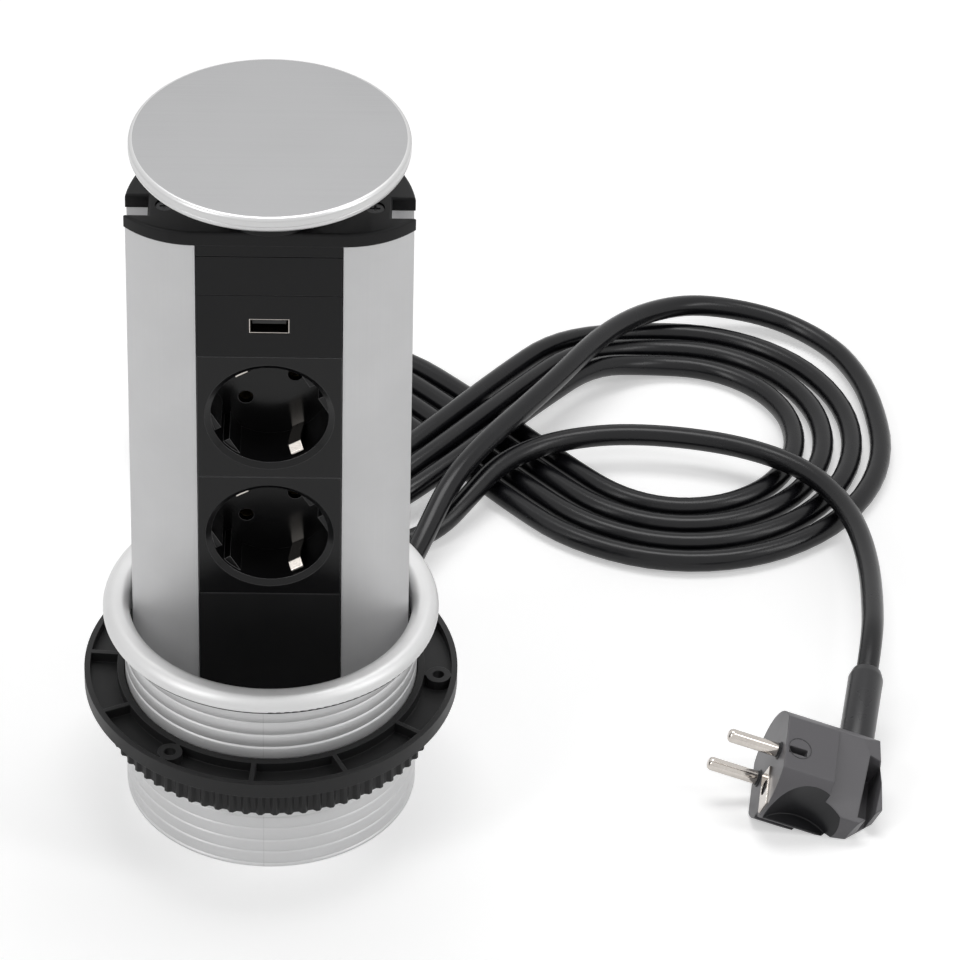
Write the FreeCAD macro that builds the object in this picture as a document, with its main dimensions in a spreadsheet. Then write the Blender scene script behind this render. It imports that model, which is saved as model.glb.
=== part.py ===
# Pull-up power strip for a worktop.
# A short round sleeve goes through a 102 mm hole and is clamped from below.
# A tower with two earthed sockets and a USB charger slides up out of it.
# Millimetres, Z up, front towards -Y, origin at the middle of the sleeve's foot.

import FreeCAD
import Part
import Sketcher
import math
import os
from FreeCAD import Placement, Rotation, Vector

os.makedirs("parts", exist_ok=True)
doc = FreeCAD.newDocument("power_strip")


# A size is a number together with the sheet expression that gives it.

class Size:
    def __init__(self, value, text):
        self.value = float(value)
        self.text = text

    def __add__(self, other):
        other = as_size(other)
        return Size(self.value + other.value, f"({self.text} + {other.text})")

    def __sub__(self, other):
        other = as_size(other)
        return Size(self.value - other.value, f"({self.text} - {other.text})")

    def __rsub__(self, other):
        return as_size(other) - self

    def __mul__(self, other):
        other = as_size(other)
        return Size(self.value * other.value, f"({self.text} * {other.text})")

    def __truediv__(self, other):
        other = as_size(other)
        return Size(self.value / other.value, f"({self.text} / {other.text})")

    def __neg__(self):
        return Size(-self.value, f"(-1 * {self.text})")

    __radd__ = __add__
    __rmul__ = __mul__


def as_size(number):
    if isinstance(number, Size):
        return number
    return Size(number, f"({number})" if number < 0 else str(number))


def root_of(size):
    return Size(math.sqrt(size.value), f"sqrt({size.text})")


def across(radius, offset):
    """Half chord of a circle at a distance from its centre."""
    return root_of(radius * radius - offset * offset)


# Driving sizes

sheet = doc.addObject("Spreadsheet::Sheet", "sizes")


class Sizes:
    row = 0


def add_size(name, value, note):
    Sizes.row += 1
    sheet.set(f"A{Sizes.row}", name)
    sheet.set(f"B{Sizes.row}", str(value))
    sheet.set(f"C{Sizes.row}", note)
    sheet.setAlias(f"B{Sizes.row}", name)
    return Size(value, f"sizes.{name}")


# sleeve and trim ring
sleeve_radius = add_size("sleeve_radius", 50.0, "outside of the sleeve")
sleeve_wall = add_size("sleeve_wall", 1.8, "wall of the sleeve")
sleeve_height = add_size("sleeve_height", 74.5, "foot to underside of the trim ring")
groove_pitch = add_size("groove_pitch", 5.2, "step between the outside grooves")
groove_depth = add_size("groove_depth", 0.45, "depth of a groove")
groove_width = add_size("groove_width", 1.0, "mouth of a groove")
groove_first = add_size("groove_first", 1.6, "height of the lowest groove")
groove_margin = add_size("groove_margin", 2.0, "plain band over the last groove")
notch_width = add_size("notch_width", 17.0, "cord notch in the foot of the sleeve")
notch_height = add_size("notch_height", 17.5, "top of the cord notch")
ring_radius = add_size("ring_radius", 57.2, "outside of the trim ring")
ring_height = add_size("ring_height", 5.0, "height of the trim ring")
ring_outer_round = add_size("ring_outer_round", 4.2, "upper outer edge of the ring")
ring_inner_round = add_size("ring_inner_round", 3.0, "upper inner edge of the ring")
ring_foot_round = add_size("ring_foot_round", 0.7, "lower outer edge of the ring")
seal_width = add_size("seal_width", 4.0, "width of the flat gasket")
seal_thickness = add_size("seal_thickness", 0.8, "thickness of the flat gasket")
seal_setback = add_size("seal_setback", 1.4, "gasket edge inside the ring edge")

# clamp flange and lock nut
running_gap = add_size("running_gap", 0.35, "clearance of the flange and nut on the sleeve")
flange_radius = add_size("flange_radius", 64.0, "outside of the clamp flange")
flange_foot = add_size("flange_foot", 43.4, "underside of the clamp flange")
flange_height = add_size("flange_height", 5.6, "height of the flange rim")
flange_floor = add_size("flange_floor", 1.8, "floor of the flange channel")
flange_rim = add_size("flange_rim", 2.0, "thickness of the flange rim")
flange_hub = add_size("flange_hub", 2.4, "thickness of the flange hub")
rib_thickness = add_size("rib_thickness", 1.6, "radial rib of the flange")
boss_radius = add_size("boss_radius", 4.2, "screw boss of the flange")
boss_hole = add_size("boss_hole", 2.0, "radius of the screw hole")
boss_circle = add_size("boss_circle", 57.6, "radius on which the screw holes lie")
nut_radius = add_size("nut_radius", 57.0, "outside of the lock nut")
nut_height = add_size("nut_height", 13.6, "height of the lock nut")
nut_gap = add_size("nut_gap", 0.3, "clearance between nut and flange")
nut_skirt = add_size("nut_skirt", 2.6, "wall under the knurl")
nut_hub = add_size("nut_hub", 2.2, "threaded wall of the nut")
nut_web = add_size("nut_web", 3.2, "top web of the nut")
flute_width = add_size("flute_width", 3.8, "mouth of one flute of the knurl")
flute_floor = add_size("flute_floor", 1.6, "flat at the bottom of a flute")
flute_depth = add_size("flute_depth", 1.1, "depth of one flute of the knurl")

# tower section, seen from above
tower_radius = add_size("tower_radius", 47.0, "round back of the tower")
tower_wall = add_size("tower_wall", 2.0, "wall of the extrusion")
lip_depth = add_size("lip_depth", 15.0, "front lips ahead of the tower axis")
channel_half = add_size("channel_half", 24.0, "half width of the front channel")
wing_radius = add_size("wing_radius", 31.4, "round of the front wings")
guide_half = add_size("guide_half", 5.2, "half width of the side guide groove")
guide_floor = add_size("guide_floor", 39.5, "floor of the side guide groove")
guide_gap = add_size("guide_gap", 0.3, "clearance in the guide groove")
port_radius = add_size("port_radius", 4.0, "screw port of the extrusion")
port_place = add_size("port_place", 34.0, "screw port from the tower axis")
port_bore = add_size("port_bore", 1.7, "hole of a screw port")

# tower heights
tower_foot = add_size("tower_foot", 1.0, "underside of the bottom cap")
foot_cap_height = add_size("foot_cap_height", 17.0, "height of the bottom cap")
foot_cap_floor = add_size("foot_cap_floor", 2.2, "floor of the bottom cap")
foot_cap_wall = add_size("foot_cap_wall", 2.5, "wall of the bottom cap")
profile_length = add_size("profile_length", 218.2, "length of the extrusion")
cap_thickness = add_size("cap_thickness", 5.0, "thickness of the top cap")
cap_overhang = add_size("cap_overhang", 0.5, "top cap past the extrusion")
cap_round = add_size("cap_round", 1.0, "upper edge of the top cap")
cap_slot_gap = add_size("cap_slot_gap", 0.2, "top cap slot past the guide groove")
strip_height = add_size("strip_height", 4.4, "front strip of the top cap")
head_radius = add_size("head_radius", 2.9, "screw head")
head_height = add_size("head_height", 1.9, "height of a screw head")
head_gap = add_size("head_gap", 0.25, "clearance round a screw head")
shank_radius = add_size("shank_radius", 1.5, "screw shank")
shank_length = add_size("shank_length", 12.0, "length of a screw shank")
long_shank = add_size("long_shank", 26.0, "shank of a bottom cap screw")
head_recess = add_size("head_recess", 2.4, "depth of a screw head recess")
drive_length = add_size("drive_length", 3.4, "length of the cross in a screw head")
drive_width = add_size("drive_width", 0.8, "width of the cross in a screw head")
drive_depth = add_size("drive_depth", 0.7, "depth of the cross in a screw head")

# lid
lid_radius = add_size("lid_radius", 45.6, "outside of the lid")
lid_thickness = add_size("lid_thickness", 6.0, "thickness of the lid")
lid_gap = add_size("lid_gap", 21.1, "top cap to underside of the lid")
lid_top_round = add_size("lid_top_round", 1.4, "upper edge of the lid")
lid_foot_round = add_size("lid_foot_round", 2.6, "lower edge of the lid")
neck_radius = add_size("neck_radius", 11.0, "post under the lid")
neck_foot_radius = add_size("neck_foot_radius", 17.0, "foot of the post")
neck_foot_height = add_size("neck_foot_height", 2.5, "height of the foot of the post")

# front modules
module_gap = add_size("module_gap", 0.2, "gap between a module and its neighbours")
module_front = add_size("module_front", 15.4, "module fronts ahead of the tower axis")
plate_thickness = add_size("plate_thickness", 3.0, "thickness of the module fronts")
filler_height = add_size("filler_height", 15.4, "height of the filler plate")
usb_height = add_size("usb_height", 24.8, "height of the USB plate")
socket_height = add_size("socket_height", 49.7, "height of a socket insert")
clip_thickness = add_size("clip_thickness", 1.6, "snap fins of the modules")
clip_depth = add_size("clip_depth", 9.0, "depth of the snap fins")
fin_root = add_size("fin_root", 0.5, "snap fins into the plate")

# earthed sockets
recess_radius = add_size("recess_radius", 19.5, "round recess of a socket")
recess_depth = add_size("recess_depth", 17.5, "depth of the recess")
recess_wall = add_size("recess_wall", 2.0, "wall round the recess")
recess_floor = add_size("recess_floor", 2.5, "floor of the recess")
recess_chamfer = add_size("recess_chamfer", 1.3, "chamfer round the mouth")
clip_low = add_size("clip_low", 8.0, "inner bend of an earth clip from the mouth")
clip_high = add_size("clip_high", 5.1, "outer bend of an earth clip from the mouth")
clip_tip = add_size("clip_tip", 2.6, "tip of an earth clip from the mouth")
socket_turn = add_size("socket_turn", 30.0, "degrees that the pin line rises")
pin_pitch = add_size("pin_pitch", 19.0, "distance of the two pins")
pin_hole = add_size("pin_hole", 2.5, "radius of a pin hole and its contact")
guide_chord = add_size("guide_chord", 16.9, "flat guides from the socket axis")
guide_notch = add_size("guide_notch", 5.4, "notch in a flat guide")
guide_setback = add_size("guide_setback", 2.5, "flat guides behind the front")
guide_root = add_size("guide_root", 0.2, "flat guides into the recess wall")
earth_width = add_size("earth_width", 4.6, "width of an earth clip")
earth_sheet = add_size("earth_sheet", 0.8, "thickness of an earth clip")
earth_root = add_size("earth_root", 19.1, "earth clip from the axis, at the floor")
earth_bulge = add_size("earth_bulge", 17.0, "earth clip from the axis, where it bears")
earth_tip = add_size("earth_tip", 18.9, "earth clip from the axis, at its tip")
earth_bar_margin = add_size("earth_bar_margin", 16.0, "earth bar past the socket axes")
contact_radius = add_size("contact_radius", 3.5, "line contact behind a pin hole")
contact_length = add_size("contact_length", 19.5, "length of a line contact")
contact_end = add_size("contact_end", 2.0, "closed end of a line contact")
bar_width = add_size("bar_width", 5.0, "width of a bus bar")
bar_thickness = add_size("bar_thickness", 1.0, "thickness of a bus bar")
bar_margin = add_size("bar_margin", 6.0, "bus bar past the outer contacts")

# USB charger
usb_opening_width = add_size("usb_opening_width", 12.5, "width of the USB opening")
usb_opening_height = add_size("usb_opening_height", 5.1, "height of the USB opening")
usb_sheet = add_size("usb_sheet", 0.35, "sheet of the USB shell")
usb_depth = add_size("usb_depth", 13.5, "depth of the USB shell")
usb_gap = add_size("usb_gap", 0.1, "clearance of the shell in its plate")
tongue_width = add_size("tongue_width", 11.1, "width of the USB tongue")
tongue_thickness = add_size("tongue_thickness", 1.84, "thickness of the USB tongue")
tongue_setback = add_size("tongue_setback", 1.2, "tongue behind the mouth")
board_thickness = add_size("board_thickness", 1.6, "USB charger board")
board_width = add_size("board_width", 40.0, "width of the charger board")
board_depth = add_size("board_depth", 22.0, "depth of the charger board")

# guide rails and brake pads
rail_height = add_size("rail_height", 50.0, "height of a guide rail")
rail_gap = add_size("rail_gap", 0.9, "rail to the floor of the groove")
rail_drop = add_size("rail_drop", 0.3, "rail foot over the raised bottom cap")
pad_proud = add_size("pad_proud", 0.6, "brake pad ahead of its rail")
pad_height = add_size("pad_height", 14.0, "height of a brake pad")
pad_width = add_size("pad_width", 6.0, "width of a brake pad")
pad_depth = add_size("pad_depth", 1.6, "thickness of a brake pad")
pad_drop = add_size("pad_drop", 4.0, "brake pad below the rail top")

# cord outlet
cord_diameter = add_size("cord_diameter", 8.0, "outside of the cord")
straight_run = add_size("straight_run", 15.0, "straight start of a free stretch of cord")
outlet_turn = add_size("outlet_turn", 25.0, "degrees that the cord leaves off the rear")
outlet_height = add_size("outlet_height", 10.4, "cord outlet above the floor")
boot_radius = add_size("boot_radius", 5.8, "thick end of the strain relief")
boot_tip = add_size("boot_tip", 4.8, "thin end of the strain relief")
boot_reach = add_size("boot_reach", 75.0, "end of the strain relief from the axis")
boot_gap = add_size("boot_gap", 0.2, "clearance of the strain relief in its wall")
boot_straight = add_size("boot_straight", 8.0, "straight part of the strain relief")
boot_collar = add_size("boot_collar", 6.9, "collar inside the bottom cap")
collar_length = add_size("collar_length", 3.0, "thickness of that collar")
sheath_length = add_size("sheath_length", 20.0, "cord inside the bottom cap")
clamp_width = add_size("clamp_width", 22.0, "width of the cord clamp")
clamp_length = add_size("clamp_length", 8.0, "length of the cord clamp")
clamp_height = add_size("clamp_height", 3.0, "clamp bar over the cord")
clamp_screw_place = add_size("clamp_screw_place", 8.0, "clamp screw from the cord")
clamp_place = add_size("clamp_place", 30.0, "cord clamp from the tower axis")
clamp_post = add_size("clamp_post", 3.0, "post under the cord clamp")
core_diameter = add_size("core_diameter", 2.4, "one insulated core")

# plug
plug_yaw = add_size("plug_yaw", -2.0, "plug direction seen from above")
plug_pitch = add_size("plug_pitch", 20.0, "degrees that the back of the plug dips")
plug_roll = add_size("plug_roll", 15.3, "degrees that the cord side of the plug rises")
plug_x = add_size("plug_x", 172.0, "plug face from the tower axis, to the right")
plug_y = add_size("plug_y", -13.6, "plug face from the tower axis, to the back")
plug_z = add_size("plug_z", 17.4, "middle of the plug face above the floor")
plug_rest = add_size("plug_rest", 0.2, "underside of the plug above the floor")
pin_radius = add_size("pin_radius", 2.4, "radius of a plug pin")
pin_length = add_size("pin_length", 19.0, "length of a plug pin")
pin_round = add_size("pin_round", 1.6, "round of a pin's tip")
plug_disc = add_size("plug_disc", 19.4, "radius of the plug face")
plug_flat = add_size("plug_flat", 16.2, "flat sides from the axis")
plug_length = add_size("plug_length", 40.0, "face to back of the plug")
plug_grip = add_size("plug_grip", 28.0, "length of the flat sides")
plug_bevel = add_size("plug_bevel", 9.0, "bevels at the back of the plug")
plug_end_half = add_size("plug_end_half", 11.5, "half height of the back end")
facet_start = add_size("facet_start", 19.0, "slanting facet of the rear block, from the face")
facet_edge = add_size("facet_edge", 11.0, "upper edge of that facet from the axis")
facet_low = add_size("facet_low", 7.0, "lower edge of that facet from the axis")
hollow_radius = add_size("hollow_radius", 17.0, "radius of the grip's hollow")
hollow_place = add_size("hollow_place", 13.8, "middle of the hollow from the face")
hollow_floor = add_size("hollow_floor", 13.5, "floor of the hollow from the axis")
ledge_height = add_size("ledge_height", -5.0, "ledge under the hollow")
strip_step = add_size("strip_step", 0.8, "ledge above the side groove")
strip_width = add_size("strip_width", 3.2, "side groove in the ledge")
strip_length = add_size("strip_length", 21.0, "length of the side groove")
strip_depth = add_size("strip_depth", 3.2, "depth of the side groove")
handle_start = add_size("handle_start", 31.4, "finger slot in the rear block, from the face")
handle_length = add_size("handle_length", 6.0, "thickness of the finger slot")
handle_left = add_size("handle_left", 16.0, "finger slot from the axis, on the hollow's side")
handle_width = add_size("handle_width", 22.0, "width of the finger slot")
handle_floor = add_size("handle_floor", -1.0, "floor of the finger slot")
window_place = add_size("window_place", -4.2, "slot in the flat side of the plug, from the axis")
window_width = add_size("window_width", 2.8, "width of that slot")
window_length = add_size("window_length", 6.6, "length of that slot")
window_depth = add_size("window_depth", 4.0, "depth of that slot")
window_start = add_size("window_start", 1.4, "that slot from the face")
plate_width = add_size("plate_width", 7.0, "earth plate on the face")
plate_sheet = add_size("plate_sheet", 0.8, "thickness of the earth plate")
plate_edge = add_size("plate_edge", 18.4, "outer end of the earth plate")
plate_end = add_size("plate_end", 3.0, "inner end of the earth plate")
plate_hole = add_size("plate_hole", 2.7, "earth hole in the face")
plate_hole_place = add_size("plate_hole_place", 10.0, "earth hole from the axis")
relief_x = add_size("relief_x", 30.6, "strain relief from the face")
relief_y = add_size("relief_y", 17.0, "foot of the strain relief from the axis")
relief_lean = add_size("relief_lean", -2.5, "degrees that it leans to the face")
relief_radius = add_size("relief_radius", 6.2, "thick end of the plug's strain relief")
relief_tip = add_size("relief_tip", 5.2, "thin end of the plug's strain relief")
relief_length = add_size("relief_length", 34.0, "length of the plug's strain relief")
relief_head = add_size("relief_head", 3.0, "bevelled end of that strain relief")

# hank of cord
hank_x = add_size("hank_x", 72.5, "crossing of the hank, to the right")
hank_y = add_size("hank_y", 185.5, "crossing of the hank, to the back")
hank_tilt = add_size("hank_tilt", 1.5, "degrees that the hank is turned")
hank_slope = add_size("hank_slope", 50.0, "slope of the strands at the crossing")
right_lobe = add_size("right_lobe", 58.0, "radius of the right lobe")
left_lobe = add_size("left_lobe", 48.0, "radius of the left lobe")
strand_step = add_size("strand_step", 9.9, "strand to strand")
strand_fan = add_size("strand_fan", 1.2, "spread of the strands at the lobes")
strand_low = add_size("strand_low", 4.2, "height of a strand on the floor")
strand_lift = add_size("strand_lift", 8.8, "rise of the upper strands")
lift_ramp = add_size("lift_ramp", 45.0, "length of each ramp")
hank_first = -0.025         # turns, from the right end of the outer lobe
hank_last = 3.60
hank_middle = 1.75          # the turn that has no offset

doc.recompute()


# Helpers

def bind(thing, name, size):
    """Tie one property to the sheet."""
    thing.setExpression(name, as_size(size).text)


def bind_place(thing, x=0, y=0, z=0):
    for axis, value in (("x", x), ("y", y), ("z", z)):
        if isinstance(value, Size) or value != 0:
            thing.setExpression(f"Placement.Base.{axis}", as_size(value).text)


def box(name, x, y, z, length, width, height):
    """A box whose low corner is at x, y, z."""
    thing = doc.addObject("Part::Box", name)
    bind(thing, "Length", length)
    bind(thing, "Width", width)
    bind(thing, "Height", height)
    bind_place(thing, x, y, z)
    return thing


def cylinder(name, radius, height, x=0, y=0, z=0, turn=None):
    """A cylinder that starts at x, y, z and runs along Z before its turn."""
    thing = doc.addObject("Part::Cylinder", name)
    bind(thing, "Radius", radius)
    bind(thing, "Height", height)
    if turn is not None:
        thing.Placement = Placement(Vector(), turn)
    bind_place(thing, x, y, z)
    return thing


def cone(name, low, high, height, x=0, y=0, z=0, turn=None):
    thing = doc.addObject("Part::Cone", name)
    bind(thing, "Radius1", low)
    bind(thing, "Radius2", high)
    bind(thing, "Height", height)
    if turn is not None:
        thing.Placement = Placement(Vector(), turn)
    bind_place(thing, x, y, z)
    return thing


def fuse(name, pieces):
    thing = doc.addObject("Part::MultiFuse", name)
    thing.Shapes = pieces
    thing.Refine = True
    return thing


def common(name, pieces):
    thing = doc.addObject("Part::MultiCommon", name)
    thing.Shapes = pieces
    thing.Refine = True
    return thing


def cut(name, base, tool):
    thing = doc.addObject("Part::Cut", name)
    thing.Base = base
    thing.Tool = tool
    thing.Refine = True
    return thing


def group(name, pieces):
    """Separate solids that share one node."""
    thing = doc.addObject("Part::Compound", name)
    thing.Links = pieces
    return thing


def mirrored(name, source, base, normal):
    thing = doc.addObject("Part::Mirroring", name)
    thing.Source = source
    thing.Base = base
    thing.Normal = normal
    return thing


TO_BACK = Rotation(Vector(1, 0, 0), -90)     # Z axis turned to +Y
TO_RIGHT = Rotation(Vector(0, 1, 0), 90)     # Z axis turned to +X
TO_LEFT = Rotation(Vector(0, 1, 0), -90)     # Z axis turned to -X


def arc_between(start, end, radius, side):
    """Short arc from start to end, its centre on the left or right of the way."""
    way = end - start
    half = way.Length / 2
    left = Vector(-way.y, way.x, 0).normalize()
    centre = start + way * 0.5 + left * side * math.sqrt(radius * radius - half * half)
    first = math.atan2(start.y - centre.y, start.x - centre.x)
    last = math.atan2(end.y - centre.y, end.x - centre.x)
    if side < 0:
        first, last = last, first
    return Part.ArcOfCircle(Part.Circle(centre, Vector(0, 0, 1), radius), first, last)


def pin_point(sketch, geometry, point, x, y):
    """Tie one point of a sketch to its two sizes."""
    for kind, size, axis in (("DistanceX", x, -2), ("DistanceY", y, -1)):
        size = as_size(size)
        if size.value == 0 and "sizes." not in size.text:
            sketch.addConstraint(Sketcher.Constraint("PointOnObject", geometry, point, axis))
            continue
        number = sketch.addConstraint(
            Sketcher.Constraint(kind, -1, 1, geometry, point, size.value))
        if "sizes." in size.text:
            sketch.setExpression(f"Constraints[{number}]", size.text)


def draw_loop(sketch, corners, arcs=None):
    """A closed outline. arcs gives radius and side for the edge after a corner."""
    arcs = arcs or {}
    points = [Vector(as_size(x).value, as_size(y).value, 0) for x, y in corners]
    ends = []
    for i, start in enumerate(points):
        end = points[(i + 1) % len(points)]
        if i in arcs:
            radius, side = arcs[i]
            radius = as_size(radius)
            edge = arc_between(start, end, radius.value, side)
            number = sketch.addGeometry(edge, False)
            ends.append((number, 1, 2) if side > 0 else (number, 2, 1))
            fixed = sketch.addConstraint(
                Sketcher.Constraint("Radius", number, radius.value))
            if "sizes." in radius.text:
                sketch.setExpression(f"Constraints[{fixed}]", radius.text)
        else:
            number = sketch.addGeometry(Part.LineSegment(start, end), False)
            ends.append((number, 1, 2))
    for i, (number, first, last) in enumerate(ends):
        after, after_first, after_last = ends[(i + 1) % len(ends)]
        sketch.addConstraint(
            Sketcher.Constraint("Coincident", number, last, after, after_first))
        pin_point(sketch, number, first, corners[i][0], corners[i][1])


def draw_circle(sketch, x, y, radius):
    radius = as_size(radius)
    centre = Vector(as_size(x).value, as_size(y).value, 0)
    number = sketch.addGeometry(
        Part.Circle(centre, Vector(0, 0, 1), radius.value), False)
    fixed = sketch.addConstraint(Sketcher.Constraint("Radius", number, radius.value))
    if "sizes." in radius.text:
        sketch.setExpression(f"Constraints[{fixed}]", radius.text)
    pin_point(sketch, number, 3, x, y)


def new_body(name):
    return doc.addObject("PartDesign::Body", name)


def origin_part(body, role):
    for feature in body.Origin.OriginFeatures:
        if feature.Role == role:
            return feature
    raise ValueError(role)


def sketch_on(body, role, name, offset=0):
    sketch = body.newObject("Sketcher::SketchObject", name)
    sketch.AttachmentSupport = [(origin_part(body, role), "")]
    sketch.MapMode = "FlatFace"
    if isinstance(offset, Size) or offset != 0:
        sketch.setExpression("AttachmentOffset.Base.z", as_size(offset).text)
    return sketch


def pad(body, sketch, name, length):
    feature = body.newObject("PartDesign::Pad", name)
    feature.Profile = sketch
    bind(feature, "Length", length)
    sketch.Visibility = False
    return feature


def revolve_body(name, corners, arcs=None):
    """A turned piece: corners are radius and height."""
    body = new_body(name)
    sketch = sketch_on(body, "XZ_Plane", f"{name}_outline")
    draw_loop(sketch, corners, arcs)
    turned = body.newObject("PartDesign::Revolution", f"{name}_turned")
    turned.Profile = sketch
    turned.ReferenceAxis = (sketch, ["V_Axis"])
    turned.Angle = 360
    return body


def extruded(name, corners, length, arcs=None, turn=None):
    """A plate outside a body: its outline in XY, its length along Z."""
    sketch = doc.addObject("Sketcher::SketchObject", f"{name}_outline")
    draw_loop(sketch, corners, arcs)
    plate = doc.addObject("Part::Extrusion", name)
    plate.Base = sketch
    plate.DirMode = "Custom"
    plate.Dir = Vector(0, 0, 1)
    plate.Solid = True
    bind(plate, "LengthFwd", length)
    if turn is not None:
        plate.Placement = Placement(Vector(), turn)
    return plate


def along_back(name, corners):
    """A turned piece about the Y axis: corners are radius and distance."""
    sketch = doc.addObject("Sketcher::SketchObject", f"{name}_outline")
    sketch.Placement = Placement(Vector(), Rotation(Vector(0, 0, 1), Vector(0, 1, 0),
                                                    Vector(-1, 0, 0), "XYZ"))
    draw_loop(sketch, corners)
    turned = doc.addObject("Part::Revolution", name)
    turned.Source = sketch
    turned.Axis = Vector(0, 1, 0)
    turned.Base = Vector()
    turned.Angle = 360
    turned.Solid = True
    return turned


def turn_to_outlet(thing, height=None):
    """Swing a piece from the rear to the side on which the cord leaves."""
    thing.Placement = Placement(Vector(), Rotation(Vector(0, 0, -1), outlet_turn.value))
    thing.setExpression("Placement.Rotation.Angle", outlet_turn.text)
    if height is not None:
        bind_place(thing, z=height)
    return thing


sub_parts = []


def finish(thing, label):
    thing.Label = label
    sub_parts.append(thing)
    return thing


# Heights and depths that more than one piece uses

sleeve_bore = sleeve_radius - sleeve_wall
ring_foot = sleeve_height
profile_foot = tower_foot + foot_cap_height
cap_foot = profile_foot + profile_length
cap_top = cap_foot + cap_thickness
lid_foot = cap_top + lid_gap
nut_top = flange_foot - nut_gap
nut_foot = nut_top - nut_height
module_half = channel_half - module_gap
filler_top = cap_foot - strip_height
usb_top = filler_top - filler_height
socket_tops = [usb_top - usb_height, usb_top - usb_height - socket_height]
blank_top = socket_tops[1] - socket_height
socket_middles = [top - socket_height / 2 for top in socket_tops]
usb_middle = usb_top - usb_height / 2
module_back = -module_front + plate_thickness
recess_back = -module_front + recess_depth
cup_back = recess_back + recess_floor
contact_back = cup_back + contact_length


# Sleeve

groove_count = 1 + int((sleeve_height.value - groove_margin.value - groove_first.value)
                       / groove_pitch.value)
sleeve = revolve_body("sleeve_tube", [
    (sleeve_bore, 0),
    (sleeve_radius, 0),
    (sleeve_radius, sleeve_height),
    (sleeve_bore, sleeve_height)])
groove_sketch = sketch_on(sleeve, "XZ_Plane", "groove_outline")
draw_loop(groove_sketch, [
    (sleeve_radius - groove_depth, groove_first),
    (sleeve_radius + groove_depth, groove_first - groove_width),
    (sleeve_radius + groove_depth, groove_first + groove_width)])
groove = sleeve.newObject("PartDesign::Groove", "groove")
groove.Profile = groove_sketch
groove.ReferenceAxis = (groove_sketch, ["V_Axis"])
groove.Angle = 360
grooves = sleeve.newObject("PartDesign::LinearPattern", "grooves")
grooves.Originals = [groove]
grooves.Direction = (origin_part(sleeve, "Z_Axis"), [""])
grooves.Occurrences = groove_count
bind(grooves, "Length", groove_pitch * (groove_count - 1))
sleeve.Tip = grooves
notch_tool = fuse("notch_tool", [
    box("notch_box", -notch_width / 2, 0, -1,
        notch_width, sleeve_radius + 5, notch_height - notch_width / 2 + 1),
    cylinder("notch_round", notch_width / 2, sleeve_radius + 5,
             z=notch_height - notch_width / 2, turn=TO_BACK)])
turn_to_outlet(notch_tool)
finish(cut("sleeve_notched", sleeve, notch_tool), "sleeve")


# Trim ring and gasket

finish(revolve_body("ring_body", [
    (sleeve_bore, ring_foot),
    (ring_radius - ring_foot_round, ring_foot),
    (ring_radius, ring_foot + ring_foot_round),
    (ring_radius, ring_foot + ring_height - ring_outer_round),
    (ring_radius - ring_outer_round, ring_foot + ring_height),
    (sleeve_bore + ring_inner_round, ring_foot + ring_height),
    (sleeve_bore, ring_foot + ring_height - ring_inner_round)],
    {1: (ring_foot_round, 1), 3: (ring_outer_round, 1), 5: (ring_inner_round, 1)}),
    "trim_ring")
seal_outer = ring_radius - seal_setback
finish(revolve_body("seal_body", [
    (seal_outer - seal_width, ring_foot - seal_thickness),
    (seal_outer, ring_foot - seal_thickness),
    (seal_outer, ring_foot),
    (seal_outer - seal_width, ring_foot)]), "seal")


# Clamp flange: a channelled collar with twelve ribs and three screw bosses

collar_bore = sleeve_radius + running_gap
flange_top = flange_foot + flange_height
flange = revolve_body("flange_body", [
    (collar_bore, flange_foot),
    (flange_radius, flange_foot),
    (flange_radius, flange_top),
    (flange_radius - flange_rim, flange_top),
    (flange_radius - flange_rim, flange_foot + flange_floor),
    (collar_bore + flange_hub, flange_foot + flange_floor),
    (collar_bore + flange_hub, flange_top),
    (collar_bore, flange_top)])


def polar(body, name, feature, count):
    pattern = body.newObject("PartDesign::PolarPattern", name)
    pattern.Originals = [feature]
    pattern.Axis = (origin_part(body, "Z_Axis"), [""])
    pattern.Angle = 360
    pattern.Occurrences = count
    body.Tip = pattern
    return pattern


rib_count = 12
boss_count = 3
boss_turn = -35        # degrees from the front towards the right
boss_x = boss_circle * math.sin(math.radians(boss_turn))
boss_y = -boss_circle * math.cos(math.radians(boss_turn))
rib_sketch = sketch_on(flange, "XY_Plane", "rib_outline", flange_foot)
rib_turn = Rotation(Vector(0, 0, 1), boss_turn)
rib_sketch.AttachmentOffset = Placement(Vector(), rib_turn)
rib_sketch.setExpression("AttachmentOffset.Base.z", flange_foot.text)
draw_loop(rib_sketch, [
    (-rib_thickness / 2, -flange_radius + flange_rim / 2),
    (rib_thickness / 2, -flange_radius + flange_rim / 2),
    (rib_thickness / 2, -collar_bore - flange_hub / 2),
    (-rib_thickness / 2, -collar_bore - flange_hub / 2)])
rib = pad(flange, rib_sketch, "rib", flange_height)
polar(flange, "ribs", rib, rib_count)
boss_sketch = sketch_on(flange, "XY_Plane", "boss_outline", flange_foot)
draw_circle(boss_sketch, boss_x, boss_y, boss_radius)
boss = pad(flange, boss_sketch, "boss", flange_height)
polar(flange, "bosses", boss, boss_count)
hole_sketch = sketch_on(flange, "XY_Plane", "hole_outline", flange_foot)
draw_circle(hole_sketch, boss_x, boss_y, boss_hole)
hole = flange.newObject("PartDesign::Pocket", "hole")
hole.Profile = hole_sketch
hole.Type = "Length"
bind(hole, "Length", flange_height + 1)
hole.Reversed = True
polar(flange, "holes", hole, boss_count)
finish(flange, "clamp_flange")


# Lock nut with a knurled skirt

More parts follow.
